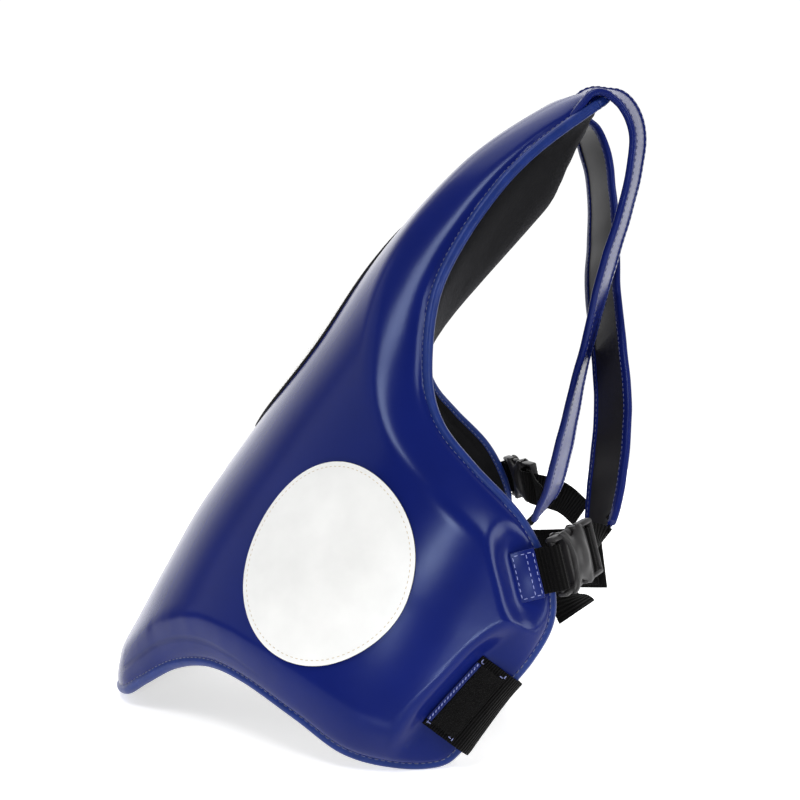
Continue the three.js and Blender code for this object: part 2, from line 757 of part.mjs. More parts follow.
// Loop of webbing: two layers sewn on the flank, and the turn round the female half's bar.
const LOOP_LOW = [
  { at: -8, up: -1 },
  { at: 2, up: -1 },
  { at: 8, up: -1 },
];
const LOOP_TURN = [
  { at: -0.5, up: -3.2 },
  { at: 2.6, up: -3.1 },
  { at: 4.4, up: 0 },
  { at: 2.4, up: 3.1 },
  { at: -1, up: 3.4 },
  { at: -3.6, up: 1 },
];
const LOOP_HIGH = [
  { at: 8, up: 1 },
  { at: 2, up: 1 },
  { at: -8, up: 1 },
];
// Webbing round the male half's ladder bar, from the strap to the tail.
const LADDER = [
  { at: 53, up: -4.7 },
  { at: 47, up: -4.9 },
  { at: 44.2, up: -3.9 },
  { at: 43.2, up: -0.8 },
  { at: 42.3, up: 2.2 },
  { at: 39.5, up: 3.6 },
  { at: 36.8, up: 2.2 },
  { at: 36.1, up: -1 },
  { at: 36.6, up: -5 },
  { at: 40, up: -7.8 },
  { at: 50, up: -8.8 },
];
const TAIL_END = {
  left: [{ x: 99, y: 100, z: 103 }, { x: 86, y: 105, z: 98 }],
  right: [{ x: -98, y: 110, z: 97 }, { x: -91, y: 124, z: 86 }],
};
const STRAP_END = { left: rightStrap, right: leftStrap };

// Buckles, webbing and sewn tabs
for (const [sign, name] of [[1, 'left'], [-1, 'right']]) {
  const flank = flankFrame(sign, BUCKLE_LIFT[name]);
  const frame = buckleFrame(flank, BUCKLE_FOLD[name]);
  const width = new THREE.Vector3().setFromMatrixColumn(flank, 1);
  const wide = () => width.clone();
  add(`${name}_buckle_female`, fromManifold(femaleBody()).applyMatrix4(frame), COLOURS.plastic, 0.5);
  add(`${name}_buckle_male`, fromManifold(maleBody()).applyMatrix4(frame), COLOURS.plastic, 0.5);
  const loop = [...knotsIn(flank, LOOP_LOW), ...knotsIn(frame, LOOP_TURN), ...knotsIn(flank, LOOP_HIGH)];
  add(`${name}_buckle_loop`, band(knotStops(loop, 3, wide), WEB.width, WEB.thick), COLOURS.webbing, 0.9);
  const strapStop = STRAP_END[name][STRAP_END[name].length - 1];
  const pull = strapStop.across.clone().cross(strapStop.face);
  const start = [0.6, 6].map((d) => strapStop.at.clone().addScaledVector(pull, d));
  const tail = TAIL_END[name].map((p) => new THREE.Vector3(p.x, p.y, p.z));
  const run = [...start, ...knotsIn(frame, LADDER), ...tail];
  const untwist = (f) => {
    const share = THREE.MathUtils.smoothstep(f, 1 / (run.length - 1), 2 / (run.length - 1));
    return strapStop.across.clone().lerp(width, share);
  };
  add(`${name}_strap_webbing`, band(knotStops(run, 3, untwist), WEB.width, WEB.thick), COLOURS.webbing, 0.9);
  const tab = [[-13, 14.5], [5, 14.5], [5, -14.5], [-13, -14.5]];
  const corner = (at, across, up) => new THREE.Vector3(at, across, up).applyMatrix4(flank);
  const rings = [3.6, 2.1].map((up) => tab.map(([at, across]) => corner(at, across, up)));
  add(`${name}_buckle_tab`, bar(rings), COLOURS.leather, 0.4);
}

// Waist elastic: sewn on the flank outside, over the bound rim
const TAB_HEIGHT = FLANGE + BIND_GAP + BIND_WALL + 1.6 + BELT.thick / 2;
const WAIST = { along: 158, from: 254, rim: 287.5, clear: 2.6 };

// The elastic's heights over the pattern, folded round the rim to the inside.
const TAB_FOLD = [
  { across: WAIST.from, up: TAB_HEIGHT },
  { across: WAIST.rim - 12, up: TAB_HEIGHT },
  { across: WAIST.rim - 1, up: TAB_HEIGHT },
  { across: WAIST.rim + WAIST.clear, up: TAB_HEIGHT - 3.4 },
  { across: WAIST.rim + WAIST.clear, up: -3.2 },
  { across: WAIST.rim - 1, up: -7.2 },
  { across: WAIST.rim - 14, up: -8.6 },
];
const tabKnots = TAB_FOLD.map((k) => lifted(k.across, WAIST.along, k.up));
const upFlank = middle(270, WAIST.along + 1).sub(middle(270, WAIST.along - 1)).normalize();
const tabStops = pathStops(tabKnots, 20, () => upFlank.clone().negate());
add('left_waist_tab', band(tabStops, BELT.width, BELT.thick), COLOURS.webbing, 0.9);

/** Stops of the pile patch that lies on one side of an elastic. */
function pileStops(stops, facing) {
  const height = facing * (BELT.thick / 2 + PILE.gap + PILE.thick / 2);
  return stops.map((stop) => ({ ...stop, at: stop.at.clone().addScaledVector(stop.face, height) }));
}

add('left_loop_patch', band(pileStops(tabStops.slice(1, 10), -1), PILE.width, PILE.thick), COLOURS.pile, 1);

// Waist belt: sewn on the right flank, then free behind it
const beltRun = [WAIST.from, WAIST.from + 14, WAIST.rim - 4];
const beltSewn = beltRun.map((across) => lifted(-across, WAIST.along, TAB_HEIGHT));
const beltFree = BELT_FREE.map((row) => new THREE.Vector3(row.x, row.y, row.z));
const upRight = new THREE.Vector3(-upFlank.x, upFlank.y, upFlank.z);
const beltTilt = (f) => {
  const share = THREE.MathUtils.smoothstep(f, 0.22, 0.6);
  return upRight.clone().lerp(new THREE.Vector3(0, 0, 1), share);
};
const beltStops = pathStops([...beltSewn, ...beltFree], 24, beltTilt);
add('right_waist_belt', band(beltStops, BELT.width, BELT.thick), COLOURS.webbing, 0.9);
const hookStops = pileStops(beltStops.slice(-8, -1), HOOK_SIDE);
add('right_hook_patch', band(hookStops, PILE.width, PILE.thick), COLOURS.pile, 1);

// Stand it on the floor and centre it
const group = new THREE.Group();
group.name = 'trainer_body_protector';
const box = new THREE.Box3();
for (const mesh of parts) {
  mesh.geometry.computeBoundingBox();
  box.union(mesh.geometry.boundingBox);
}
const drop = -box.min.z - FLOOR_PRESS;
const centre = (box.min.y + box.max.y) / 2;
for (const mesh of parts) {
  const position = mesh.geometry.getAttribute('position');
  for (let i = 0; i < position.count; i += 1) {
    position.setY(i, position.getY(i) - centre);
    position.setZ(i, Math.max(position.getZ(i) + drop, 0));
  }
  mesh.geometry.computeVertexNormals();
  group.add(mesh);
}

export default group;
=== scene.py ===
"""Trainer body protector: a padded leather vest that stands on its hem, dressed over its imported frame."""
import math

import bmesh
import bpy
import numpy as np
from mathutils import Matrix, Vector


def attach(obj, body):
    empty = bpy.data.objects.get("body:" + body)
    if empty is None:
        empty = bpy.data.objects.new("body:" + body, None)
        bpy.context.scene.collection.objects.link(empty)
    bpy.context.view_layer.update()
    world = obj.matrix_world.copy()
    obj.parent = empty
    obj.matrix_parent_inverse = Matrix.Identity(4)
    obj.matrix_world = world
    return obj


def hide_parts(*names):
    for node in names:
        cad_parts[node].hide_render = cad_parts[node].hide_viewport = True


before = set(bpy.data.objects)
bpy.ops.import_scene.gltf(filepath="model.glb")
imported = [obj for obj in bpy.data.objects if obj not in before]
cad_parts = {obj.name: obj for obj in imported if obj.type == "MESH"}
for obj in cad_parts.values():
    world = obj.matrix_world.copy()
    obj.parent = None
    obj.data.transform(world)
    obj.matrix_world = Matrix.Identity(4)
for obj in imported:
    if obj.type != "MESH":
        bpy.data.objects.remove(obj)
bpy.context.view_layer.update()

bl_info = {
    "name": "Trainer body protector",
    "version": (1, 0, 0),
    "blender": (4, 5, 0),
    "location": "View3D > Sidebar > Vest",
    "description": "Builds a padded leather vest, its straps, buckles and waist closures over a fixed frame",
    "category": "Object",
}

MM = 0.001

# Standing pose: lean of the front, and the shift that centres the vest and stands it on the floor.
LEAN = math.radians(37)
CENTRE = 22.19
TIP_BACK = CENTRE - 190
STAND_UP = 3.214
SIGN = {"left": 1, "right": -1}


def columns(names, *rows):
    """Table with named columns."""
    return {name: np.array([row[i] for row in rows], float) for i, name in enumerate(names.split())}


# Half of the flat pattern, in millimetres round the body from the centre front and up from the hem.
HEM = columns(
    "across along",
    (0, 0), (46, 0), (74, 10), (90, 28), (111, 54), (136, 74), (163, 85), (201, 92), (233, 95),
    (256, 104), (273, 115), (281, 124.5), (283, 137),
)
EDGE = columns(
    "across along",
    (283, 137), (281.5, 150), (279.5, 170), (279, 195), (274, 217), (262, 233), (243, 246), (222, 255),
    (186, 261), (160, 267), (143, 277), (126, 296), (104, 328), (92, 360), (84, 390), (77, 418),
    (70, 448), (64, 470),
)
NECK = columns("across along", (64, 470), (60, 477), (51, 480), (36, 476), (18, 470), (0, 467))
SIDE_TOP = (260, 235)

# How each level bends: set-back of the centre, a flat stretch, then a round one.
BEND = columns(
    "along front flat radius",
    (0, 0, 30, 144), (90, -4, 29, 144), (130, -6, 28, 140), (185, -6, 27, 131), (255, -6, 28, 122),
    (330, -6, 42, 119), (390, -3, 45, 119), (430, 5, 45, 119), (490, 26, 41, 119),
)
PAD = columns(
    "along outer inner",
    (0, 9.5, 16), (40, 12.5, 18), (80, 17, 21), (130, 20.5, 24), (255, 23, 30), (330, 23.5, 35),
    (390, 20, 37), (430, 16, 32), (480, 12, 15),
)
FLANK = columns("across outer inner", (0, 1, 1), (120, 1, 0.85), (200, 0.95, 0.45), (290, 0.85, 0.35))
# Places on the flanks where tabs are sewn down and the padding stops.
SEWN = columns(
    "across along turn near far half reach side depth",
    (254, 158, 0, 1, 40, 20, 13, 30, 0.72),
    (244.5, 231.5, 52, -9, 40, 13, 13, 22, 0.5),
)
SEWN_CORNER = 4

# Heights from the middle surface: the flange, thinner at the rim, the lining and the binding's inner faces.
FLANGE_TOP = 2.4
FLANGE_LOW = -1.5
RIM_THIN = 0.6
RIM_TAPER = 3.2
LINING_TOP = -1.8
LINING_LOW = -3.1
BINDING_TOP = 1.9
BINDING_LOW = -2.4
# Bindings: gap where two meet, length of a step along the rim, and the seam's share of the reach.
BINDING_GAP = 0.15
BINDING_STEP = 1.4
BINDING_SEAM = 0.76
# How far in from the rim the padding starts, and how far it takes to round up.
FLANGE_WIDTH = 11
INNER_ROUND = 46
OUTER_START = 4
NECK_START = 2
NECK_ROUND = 26
ROUND = columns("across hem edge", (0, 26, 26), (100, 26, 28), (200, 26, 28), (290, 24, 24))
# How far in the hem's crease lies, where it fades out on the flanks, and its distance on the inner face.
CREASE = columns("across inset", (0, 9), (46, 11), (90, 12.5), (150, 11.5), (210, 8), (290, 4))
CREASE_FADE = {"from": 100, "over": 90, "gap": 2.2}
CREASE_FAR = 40.0
# Fine puckers beside the hem's seam, and broad swells of the leather.
PUCKER = {"inset": 18, "spread": 8, "height": 0.22, "wave": 13, "clear": 20, "over": 20}
SWELL = {"height": 0.4, "across": 150, "along": 120, "clear": 20, "over": 30}
# Crumple of the lining, waves of the bindings and straps, and the dip of a binding at each stitch.
CRUMPLE = {"height": 0.25, "across": 110, "along": 90, "over": 12}
BINDING_WAVE = {"height": 0.25, "length": 37}
STRAP_WAVE = {"height": 0.25, "length": 46, "over": 40}
STITCH_DIP = 0.1

# Shoulder strap paths and their turn about the path, in the standing pose.
STRAPS = {
    "left": columns(
        "x y z turn",
        (48.5, 115.6, 372, 13), (49, 122.4, 369.4, 21), (49, 128, 364.8, 24), (49, 133, 356.3, 24),
        (48, 135.6, 345, 22), (46, 134.8, 327.8, 20), (41, 130.1, 303.3, 19), (28, 120.2, 261.2, 20.8),
        (15, 114, 227.2, 17.7), (0, 108.2, 194, 18.3), (-21, 100.2, 140, 25.2), (-34, 96, 115, 25),
        (-46, 91, 99, 22),
    ),
    "right": columns(
        "x y z turn",
        (-49.5, 113.6, 367.5, -8), (-50.5, 118.6, 360, -18), (-52, 123.6, 348, -23), (-53, 127.2, 335, -22),
        (-51, 129.2, 317, -21), (-40, 128.7, 286.2, -25.7), (-22, 126.2, 254.8, -28.7), (-4, 126.6, 226, -28),
        (21, 126.9, 188.2, -27.4), (38, 124.2, 164.3, -26.7), (62, 117.7, 134, -24.5), (76, 113.6, 117, -18),
        (86, 111, 107, -8),
    ),
}
# Where each strap leaves the leather at the neck: its end is sewn in below the surface.
STRAP_ROOT = {"across": 48, "along": (454, 463, 470, 476), "height": (1.6, 5.6, 8, 6.4), "turn": 4}
STRAP_STEPS = 230
STRAP_SEAM = 4.2

# Buckle place on the flank, its heading over the rim, its height and how far it folds inward.
BUCKLE = {"across": 244.5, "along": 231.5, "heading": 52, "bar": 15}
BUCKLE_LIFT = {"left": 7.9, "right": 8.3}
BUCKLE_FOLD = {"left": 54, "right": 66}
# Web loop: its sewn lower end, its turn round the buckle's bar and its upper end.
LOOP_LOW = columns("at up", (-8, -1), (2, -1), (8, -1))
LOOP_TURN = columns("at up", (-0.5, -3.2), (2.6, -3.1), (4.4, 0), (2.4, 3.1), (-1, 3.4), (-3.6, 1))
LOOP_HIGH = columns("at up", (8, 1), (2, 1), (-8, 1))
# Strap webbing: out of the end of the strap, through the buckle's ladder, and its free tail.
WEB_START = (-9, 0.6, 6)
WEB_STRAIGHT = 12
LADDER = columns(
    "at up",
    (53, -4.7), (47, -4.9), (44.2, -3.9), (43.2, -0.8), (42.3, 2.2), (39.5, 3.6), (36.8, 2.2),
    (36.1, -1), (36.6, -5), (40, -7.8), (50, -8.8),
)
TAIL_END = {
    "left": ((104, 91, 98), (102, 86, 88), (101, 88, 75), (100.5, 95.5, 64)),
    "right": ((-98, 110, 97), (-91, 124, 86)),
}
# Width direction that the left tail turns to, and the way it swings while it turns.
TAIL_WIDE = (0, 0.6, 0.8)
TAIL_SWING = (1.2, 0, 0)
# Leather tab over the web loop: its corners, and the box and cross line of its seam.
TAB_LOW = (-9.2, -13.8, 1.95)
TAB_HIGH = (4.6, 13.8, 3.3)
TAB_BOX = ((-7.8, -11.8), (-7.8, 11.8), (3.4, 11.8), (3.4, -11.8), (-7.8, -11.8))
TAB_LINE = ((-0.4, -11.8), (-0.4, 11.8))

# Waist elastic on the flanks, and the free end of the right one.
WAIST = {"along": 158, "from": 254, "rim": 287.5, "height": 7.9}
BELT_FREE = ((-161, 78, 36), (-153, 102, 38), (-142, 126, 41), (-126, 146, 45))
# Shares of the belt's length: where it turns upright, over how much, and where its pile starts and ends.
BELT_TURN = {"from": 0.22, "over": 0.38}
BELT_PILE = {"from": 0.70, "to": 0.965}
# Left elastic as a grid: rows across it, rows between its side seams, and columns of its end and its pile.
TAB_ROWS = 41
TAB_INSIDE = (3, 36)
TAB_END = slice(0, 6)
TAB_PILE = slice(6, 32)
PILE_THICK = 1.4
PILE_LIFT = 1.95
PILE_SHARE = 0.47
FIBRES = 2600

LEFT_PATCH = {"across": 165.5, "along": 169, "half": 48, "tall": 57, "turn": 36}
FRONT_PATCH = {"across": 0, "along": 262, "half": 60, "tall": 82, "turn": 0}
PATCH_GAP = 0.25
PATCH_SEAM = 0.945

# Pitch, length and thickness of the stitches of each seam.
SEAMS = {
    "patch": (2.9, 2.1, 0.42),
    "strap": (3.8, 2.6, 0.45),
    "tab": (3.1, 2.2, 0.45),
    "elastic": (2.6, 2.0, 0.5),
    "tab end": (2.3, 1.8, 0.6),
    "belt end": (2.4, 1.9, 0.6),
}


def length_setting(name, description, default, low, high):
    """Setting for a length, given in millimetres."""
    return bpy.props.FloatProperty(
        name=name, description=description, default=default * MM, min=low * MM, max=high * MM, unit="LENGTH")


def colour_setting(name, description, *default):
    """Setting for a colour."""
    return bpy.props.FloatVectorProperty(
        name=name, description=description, default=default, size=3, min=0, max=1, subtype="COLOR")


class VestSizes(bpy.types.PropertyGroup):
    """Sizes of the soft pieces that a user would change."""

    binding_reach: length_setting(
        "Binding reach", "How far the rolled binding reaches in from the rim", 5.2, 4, 12)
    binding_wall: length_setting("Binding wall", "Thickness of the binding leather", 1.0, 0.8, 2.5)
    crease_depth: length_setting(
        "Crease depth", "Depth of the sewn crease where the padding starts", 0.3, 0, 2)
    stitch_pitch: length_setting("Stitch pitch", "Distance from one rim stitch to the next", 3.6, 2.5, 8)
    stitch_length: length_setting("Stitch length", "Length of a rim stitch", 2.5, 1.5, 6)
    thread: length_setting("Thread", "Thickness of the thread in the rim stitches", 0.55, 0.3, 1)
    patch_thick: length_setting("Patch thickness", "Thickness of the round patches", 1.5, 0.8, 3)


class BandSizes(bpy.types.PropertyGroup):
    """Sizes of the straps, webbing and elastic."""

    strap_width: length_setting("Strap width", "Width of a shoulder strap", 36, 20, 60)
    strap_thick: length_setting(
        "Strap thickness", "Thickness of a shoulder strap at its bound edges", 4.4, 2, 8)
    web_width: length_setting("Webbing width", "Width of the buckle webbing", 25, 15, 40)
    web_thick: length_setting("Webbing thickness", "Thickness of the buckle webbing", 1.4, 0.8, 3)
    belt_width: length_setting("Elastic width", "Width of the waist elastic", 47, 30, 60)
    belt_thick: length_setting("Elastic thickness", "Thickness of the waist elastic", 2, 1, 4)
    pile_width: length_setting("Pile width", "Width of the hook patch", 41, 20, 50)


class Colours(bpy.types.PropertyGroup):
    """Colours of the finishes."""

    leather: colour_setting("Leather", "Navy leather of the body and straps", 0.0056, 0.012, 0.121)
    binding: colour_setting("Binding", "Brighter leather of the rolled rims", 0.0078, 0.0235, 0.155)
    lining: colour_setting("Lining", "Brushed lining cloth", 0.006, 0.006, 0.0068)
    patch: colour_setting("Patch", "White leather of the patches", 0.8, 0.8, 0.785)
    webbing: colour_setting("Webbing", "Black webbing and elastic", 0.0014, 0.0013, 0.0014)
    plastic: colour_setting("Plastic", "Dark plastic of the buckles", 0.016, 0.0152, 0.0163)
    thread: colour_setting("Thread", "Light blue thread of the tabs and elastic", 0.30, 0.34, 0.68)


# Curves, tables and the bent pattern

def look(table, key, column, at):
    """Smooth value of a table's column, looked up by its key column."""
    x, y = table[key], table[column]
    at = np.clip(np.asarray(at, float), x[0], x[-1])
    rows = np.arange(len(x))
    before, after = np.maximum(rows - 1, 0), np.minimum(rows + 1, len(x) - 1)
    slope = (y[after] - y[before]) / (x[after] - x[before])
    i = np.clip(np.searchsorted(x, at, side="right") - 1, 0, len(x) - 2)
    step = x[i + 1] - x[i]
    t = (at - x[i]) / step
    start = y[i] * (1 + 2 * t) * (1 - t) ** 2 + slope[i] * step * t * (1 - t) ** 2
    return start + y[i + 1] * t * t * (3 - 2 * t) + slope[i + 1] * step * t * t * (t - 1)


def lengths(line):
    """Running length along a polyline."""
    return np.concatenate([[0], np.cumsum(np.linalg.norm(np.diff(line, axis=0), axis=1))])


def at_length(line, run, at):
    """Places on a polyline at running lengths."""
    return np.stack([np.interp(at, run, line[:, k]) for k in range(line.shape[1])], -1)


def point_on(line, fraction):
    """Points at fractions of a polyline's length."""
    run = lengths(line)
    return at_length(line, run, np.clip(fraction, 0, 1) * run[-1])


def run_to(points, knot):
    """Length along a path to the place nearest a knot."""
    return lengths(points)[np.argmin(np.linalg.norm(points - knot, axis=1))]


def smooth_step(t):
    """Soft step from 0 to 1."""
    return t * t * (3 - 2 * t)


def smooth_curve(knots, count):
    """Evenly spaced points of a smooth curve through knots."""
    k = np.asarray(knots, float)
    ends = np.vstack([2 * k[0] - k[1], k, 2 * k[-1] - k[-2]])
    t = np.linspace(0, 1, 48, endpoint=False)[:, None]
    fine = []
    for i in range(len(k) - 1):
        p0, p1, p2, p3 = ends[i:i + 4]
        a, b, c = (max(np.linalg.norm(q - p) ** 0.5, 1e-6) for p, q in ((p0, p1), (p1, p2), (p2, p3)))
        m1 = ((p1 - p0) / a - (p2 - p0) / (a + b) + (p2 - p1) / b) * b
        m2 = ((p2 - p1) / b - (p3 - p1) / (b + c) + (p3 - p2) / c) * b
        square, cube = 3 * p2 - 3 * p1 - 2 * m1 - m2, 2 * p1 - 2 * p2 + m1 + m2
        fine.append(p1 + m1 * t + square * t ** 2 + cube * t ** 3)
    line = np.vstack([*fine, k[-1:]])
    return point_on(line, np.linspace(0, 1, count + 1))


def pattern_line(table, count):
    """Evenly spaced points along one edge of the pattern."""
    return smooth_curve(np.stack([table["across"], table["along"]], -1), count)


def mirrored(line):
    """The same line on the other half of the pattern."""
    return line * np.array([-1, 1])


HEM_LINE = pattern_line(HEM, 360)
EDGE_LINE = pattern_line(EDGE, 480)
NECK_LINE = pattern_line(NECK, 120)
SIDE_END = int(np.argmin(np.linalg.norm(EDGE_LINE - np.array(SIDE_TOP), axis=1)))
SIDE_LINE = EDGE_LINE[:SIDE_END + 1]
TOP_LINE = np.vstack([NECK_LINE[::-1], EDGE_LINE[SIDE_END:][::-1][1:]])
# Share of the hem below the tip of the neck, and the share of the top edge over each share of the hem.
TIP_HEM = 0.185
COLUMN_MAP = columns(
    "hem top", (0, 0), (TIP_HEM, lengths(NECK_LINE)[-1] / lengths(TOP_LINE)[-1]), (0.3, 0.39), (0.4, 0.58),
    (0.54, 0.76), (0.72, 0.88), (1, 1))
RIM_LOOP = np.vstack([
    mirrored(HEM_LINE)[::-1], HEM_LINE[1:], EDGE_LINE[1:], NECK_LINE[1:],
    mirrored(NECK_LINE)[::-1][1:], mirrored(EDGE_LINE)[::-1][1:-1], mirrored(HEM_LINE)[-1:]])
RIM_RUN = lengths(RIM_LOOP)


def nearest(line, u, v):
    """Distance from pattern points to a line, and the length along the line to the nearest place."""
    points = np.stack([np.ravel(u), np.ravel(v)], -1)
    run = lengths(line)
    a, d = line[:-1], np.diff(line, axis=0)
    square = (d ** 2).sum(1)
    best = np.empty(len(points))
    place = np.empty(len(points))
    batch = 4000
    for i in range(0, len(points), batch):
        p = points[i:i + batch]
        t = np.clip(((p[:, None] - a) * d).sum(2) / square, 0, 1)
        gap = np.linalg.norm(p[:, None] - a - t[..., None] * d, axis=2)
        k = gap.argmin(1)
        row = np.arange(len(p))
        best[i:i + batch] = gap[row, k]
        place[i:i + batch] = run[k] + t[row, k] * np.sqrt(square[k])
    return best.reshape(np.shape(u)), place.reshape(np.shape(u))


ROUND_SHARE = 0.65


def rise(distance, start, round_):
    """Rounded rise of padding: 0 at the start, 1 after the rounding."""
    t = np.clip((distance - start) / round_, 0, 1)
    return np.sqrt(1 - (1 - t) ** 2) * ROUND_SHARE + smooth_step(t) * (1 - ROUND_SHARE)


def least(*shares):
    """Lowest of several shares, with a soft change from one to the next."""
    low = np.minimum.reduce(shares)
    blend = 0.05
    return np.clip(low - blend * np.log(sum(np.exp((low - share) / blend) for share in shares)), 0, 1)


def sewn_share(u, v):
    """How much of the padding is left near the places where the tabs are sewn down."""
    share = np.ones(np.shape(u))
    for row in zip(*SEWN.values()):
        across, along, turn, near, far, half, reach, side, depth = row
        tilt = math.radians(turn)
        x, y = np.abs(u) - across, v - along
        length, width = x * math.cos(tilt) + y * math.sin(tilt), y * math.cos(tilt) - x * math.sin(tilt)
        dx = np.maximum(np.maximum(near + SEWN_CORNER - length, length - far), 0)
        dy = np.maximum(np.abs(width) - half + SEWN_CORNER, 0) * reach / side
        t = np.clip((np.hypot(dx, dy) - SEWN_CORNER) / reach, 0, 1)
        share = np.minimum(share, 1 - depth * (1 - smooth_step(t)))
    return share


def ripple(s, period, seed):
    """Uneven wave along a length, from -1 to 1."""
    turn = 2 * math.pi * s / period
    parts = ((1, 0.3), (0.63, 1.7), (1.71, 4.1))
    return sum(np.sin(turn * k + phase * (seed + 1)) for k, phase in parts) / 3


def pads(u, v):
    """Padding heights on the leather side and on the lining side, and the distance from the rim."""
    a = np.abs(u)
    hem, run = nearest(HEM_LINE, a, v)
    edge, _ = nearest(EDGE_LINE, a, v)
    neck, _ = nearest(NECK_LINE, a, v)
    rim = np.minimum(np.minimum(hem, edge), neck)
    full_out = look(PAD, "along", "outer", v) * look(FLANK, "across", "outer", a)
    full_in = look(PAD, "along", "inner", v) * look(FLANK, "across", "inner", a)
    by_hem = rise(hem, OUTER_START, look(ROUND, "across", "hem", a))
    by_edge = rise(edge, OUTER_START, look(ROUND, "across", "edge", a))
    by_neck = rise(neck, NECK_START, NECK_ROUND)
    share = sewn_share(u, v)
    outer = full_out * least(by_hem, by_edge, by_neck) * share
    inner = full_in * least(*(rise(gap, FLANGE_WIDTH, INNER_ROUND) for gap in (hem, edge, neck)))
    beside = np.exp(-((hem - PUCKER["inset"]) / PUCKER["spread"]) ** 2) * PUCKER["height"]
    clear = np.clip((edge - PUCKER["clear"]) / PUCKER["over"], 0, 1)
    pucker = beside * ripple(run, PUCKER["wave"], 1) * clear
    waves = ripple(u, SWELL["across"], 2) * ripple(v, SWELL["along"], 3)
    broad = SWELL["height"] * waves * np.clip((rim - SWELL["clear"]) / SWELL["over"], 0, 1)
    return outer + (pucker + broad) * share, inner, rim


def crease_distance(u, v):
    """Distance from the hem's crease, which fades out on the flanks."""
    a = np.abs(u)
    hem, _ = nearest(HEM_LINE, a, v)
    fade = np.clip((a - CREASE_FADE["from"]) / CREASE_FADE["over"], 0, 1)
    return np.hypot(hem - look(CREASE, "across", "inset", a), CREASE_FADE["gap"] * fade)


def middle(u, v):
    """Middle surface of the vest in the standing pose."""
    flat, radius = look(BEND, "along", "flat", v), look(BEND, "along", "radius", v)
    a = np.abs(u)
    turn = np.clip((a - flat) / radius, 0, math.pi / 2)
    straight = np.maximum(a - flat - radius * math.pi / 2, 0)
    side = np.minimum(a, flat) + radius * np.sin(turn)
    back = look(BEND, "along", "front", v) + radius * (1 - np.cos(turn)) + straight
    y = TIP_BACK + back * math.cos(LEAN) + v * math.sin(LEAN)
    z = v * math.cos(LEAN) - back * math.sin(LEAN) + STAND_UP
    return np.stack([np.sign(u) * side, y, z], -1)


def unit(vectors):
    """Vectors of length one."""
    return vectors / np.maximum(np.linalg.norm(vectors, axis=-1, keepdims=True), 1e-12)


def normal(u, v):
    """Outward normal of the middle surface."""
    du = middle(u + 0.5, v) - middle(u - 0.5, v)
    dv = middle(u, v + 0.5) - middle(u, v - 0.5)
    return unit(np.cross(du, dv))


def lifted(u, v, height):
    """Middle surface moved outward."""
    u, v = np.asarray(u, float), np.asarray(v, float)
    return middle(u, v) + normal(u, v) * np.asarray(height, float)[..., None]


def column_point(share, up):
    """Pattern points at a share of the hem and a share of the way up to the top edge."""
    right = np.abs(share)
    low = point_on(HEM_LINE, right)
    high = point_on(TOP_LINE, look(COLUMN_MAP, "hem", "top", right))
    straight = SIDE_LINE[0] + (SIDE_LINE[-1] - SIDE_LINE[0]) * up[..., None]
    bulge = point_on(SIDE_LINE, up) - straight
    p = low + (high - low) * up[..., None] + bulge * right[..., None]
    return p[..., 0] * np.where(share < 0, -1, 1), p[..., 1]


def body_grid(half_count, row_count, inset):
    """Grid of pattern points, closer together near the rim, kept a little inside it."""
    x = np.linspace(0, 1, half_count)
    half = np.sort(np.append(1 - (1 - x) ** 1.35, TIP_HEM))
    share = np.concatenate([-half[:0:-1], half])
    t = np.linspace(0, 1, row_count)
    up = 0.45 * t + 0.55 * (0.5 - 0.5 * np.cos(math.pi * t))
    u, v = column_point(*np.meshgrid(share, up, indexing="ij"))
    rim, place = nearest(RIM_LOOP, u, v)
    ahead, behind = (at_length(RIM_LOOP, RIM_RUN, (place + d) % RIM_RUN[-1]) for d in (4, -4))
    along_rim = unit(ahead - behind)
    push = np.clip(inset - rim, 0, None)
    return u - along_rim[..., 1] * push, v + along_rim[..., 0] * push


# Mesh making

def add_object(name, data):
    """A new object in the scene."""
    made = bpy.data.objects.new(name, data)
    bpy.context.scene.collection.objects.link(made)
    return made


def grid_rim(grid):
    """Entries round the outside of a grid, in order."""
    return np.concatenate([grid[:-1, 0], grid[-1, :-1], grid[:0:-1, -1], grid[0, :0:-1]])


def band_map(around, run):
    """Pattern coordinates of a band: across its section and along its length."""
    return np.stack(np.broadcast_arrays(around[None, :], run[:, None]), -1)


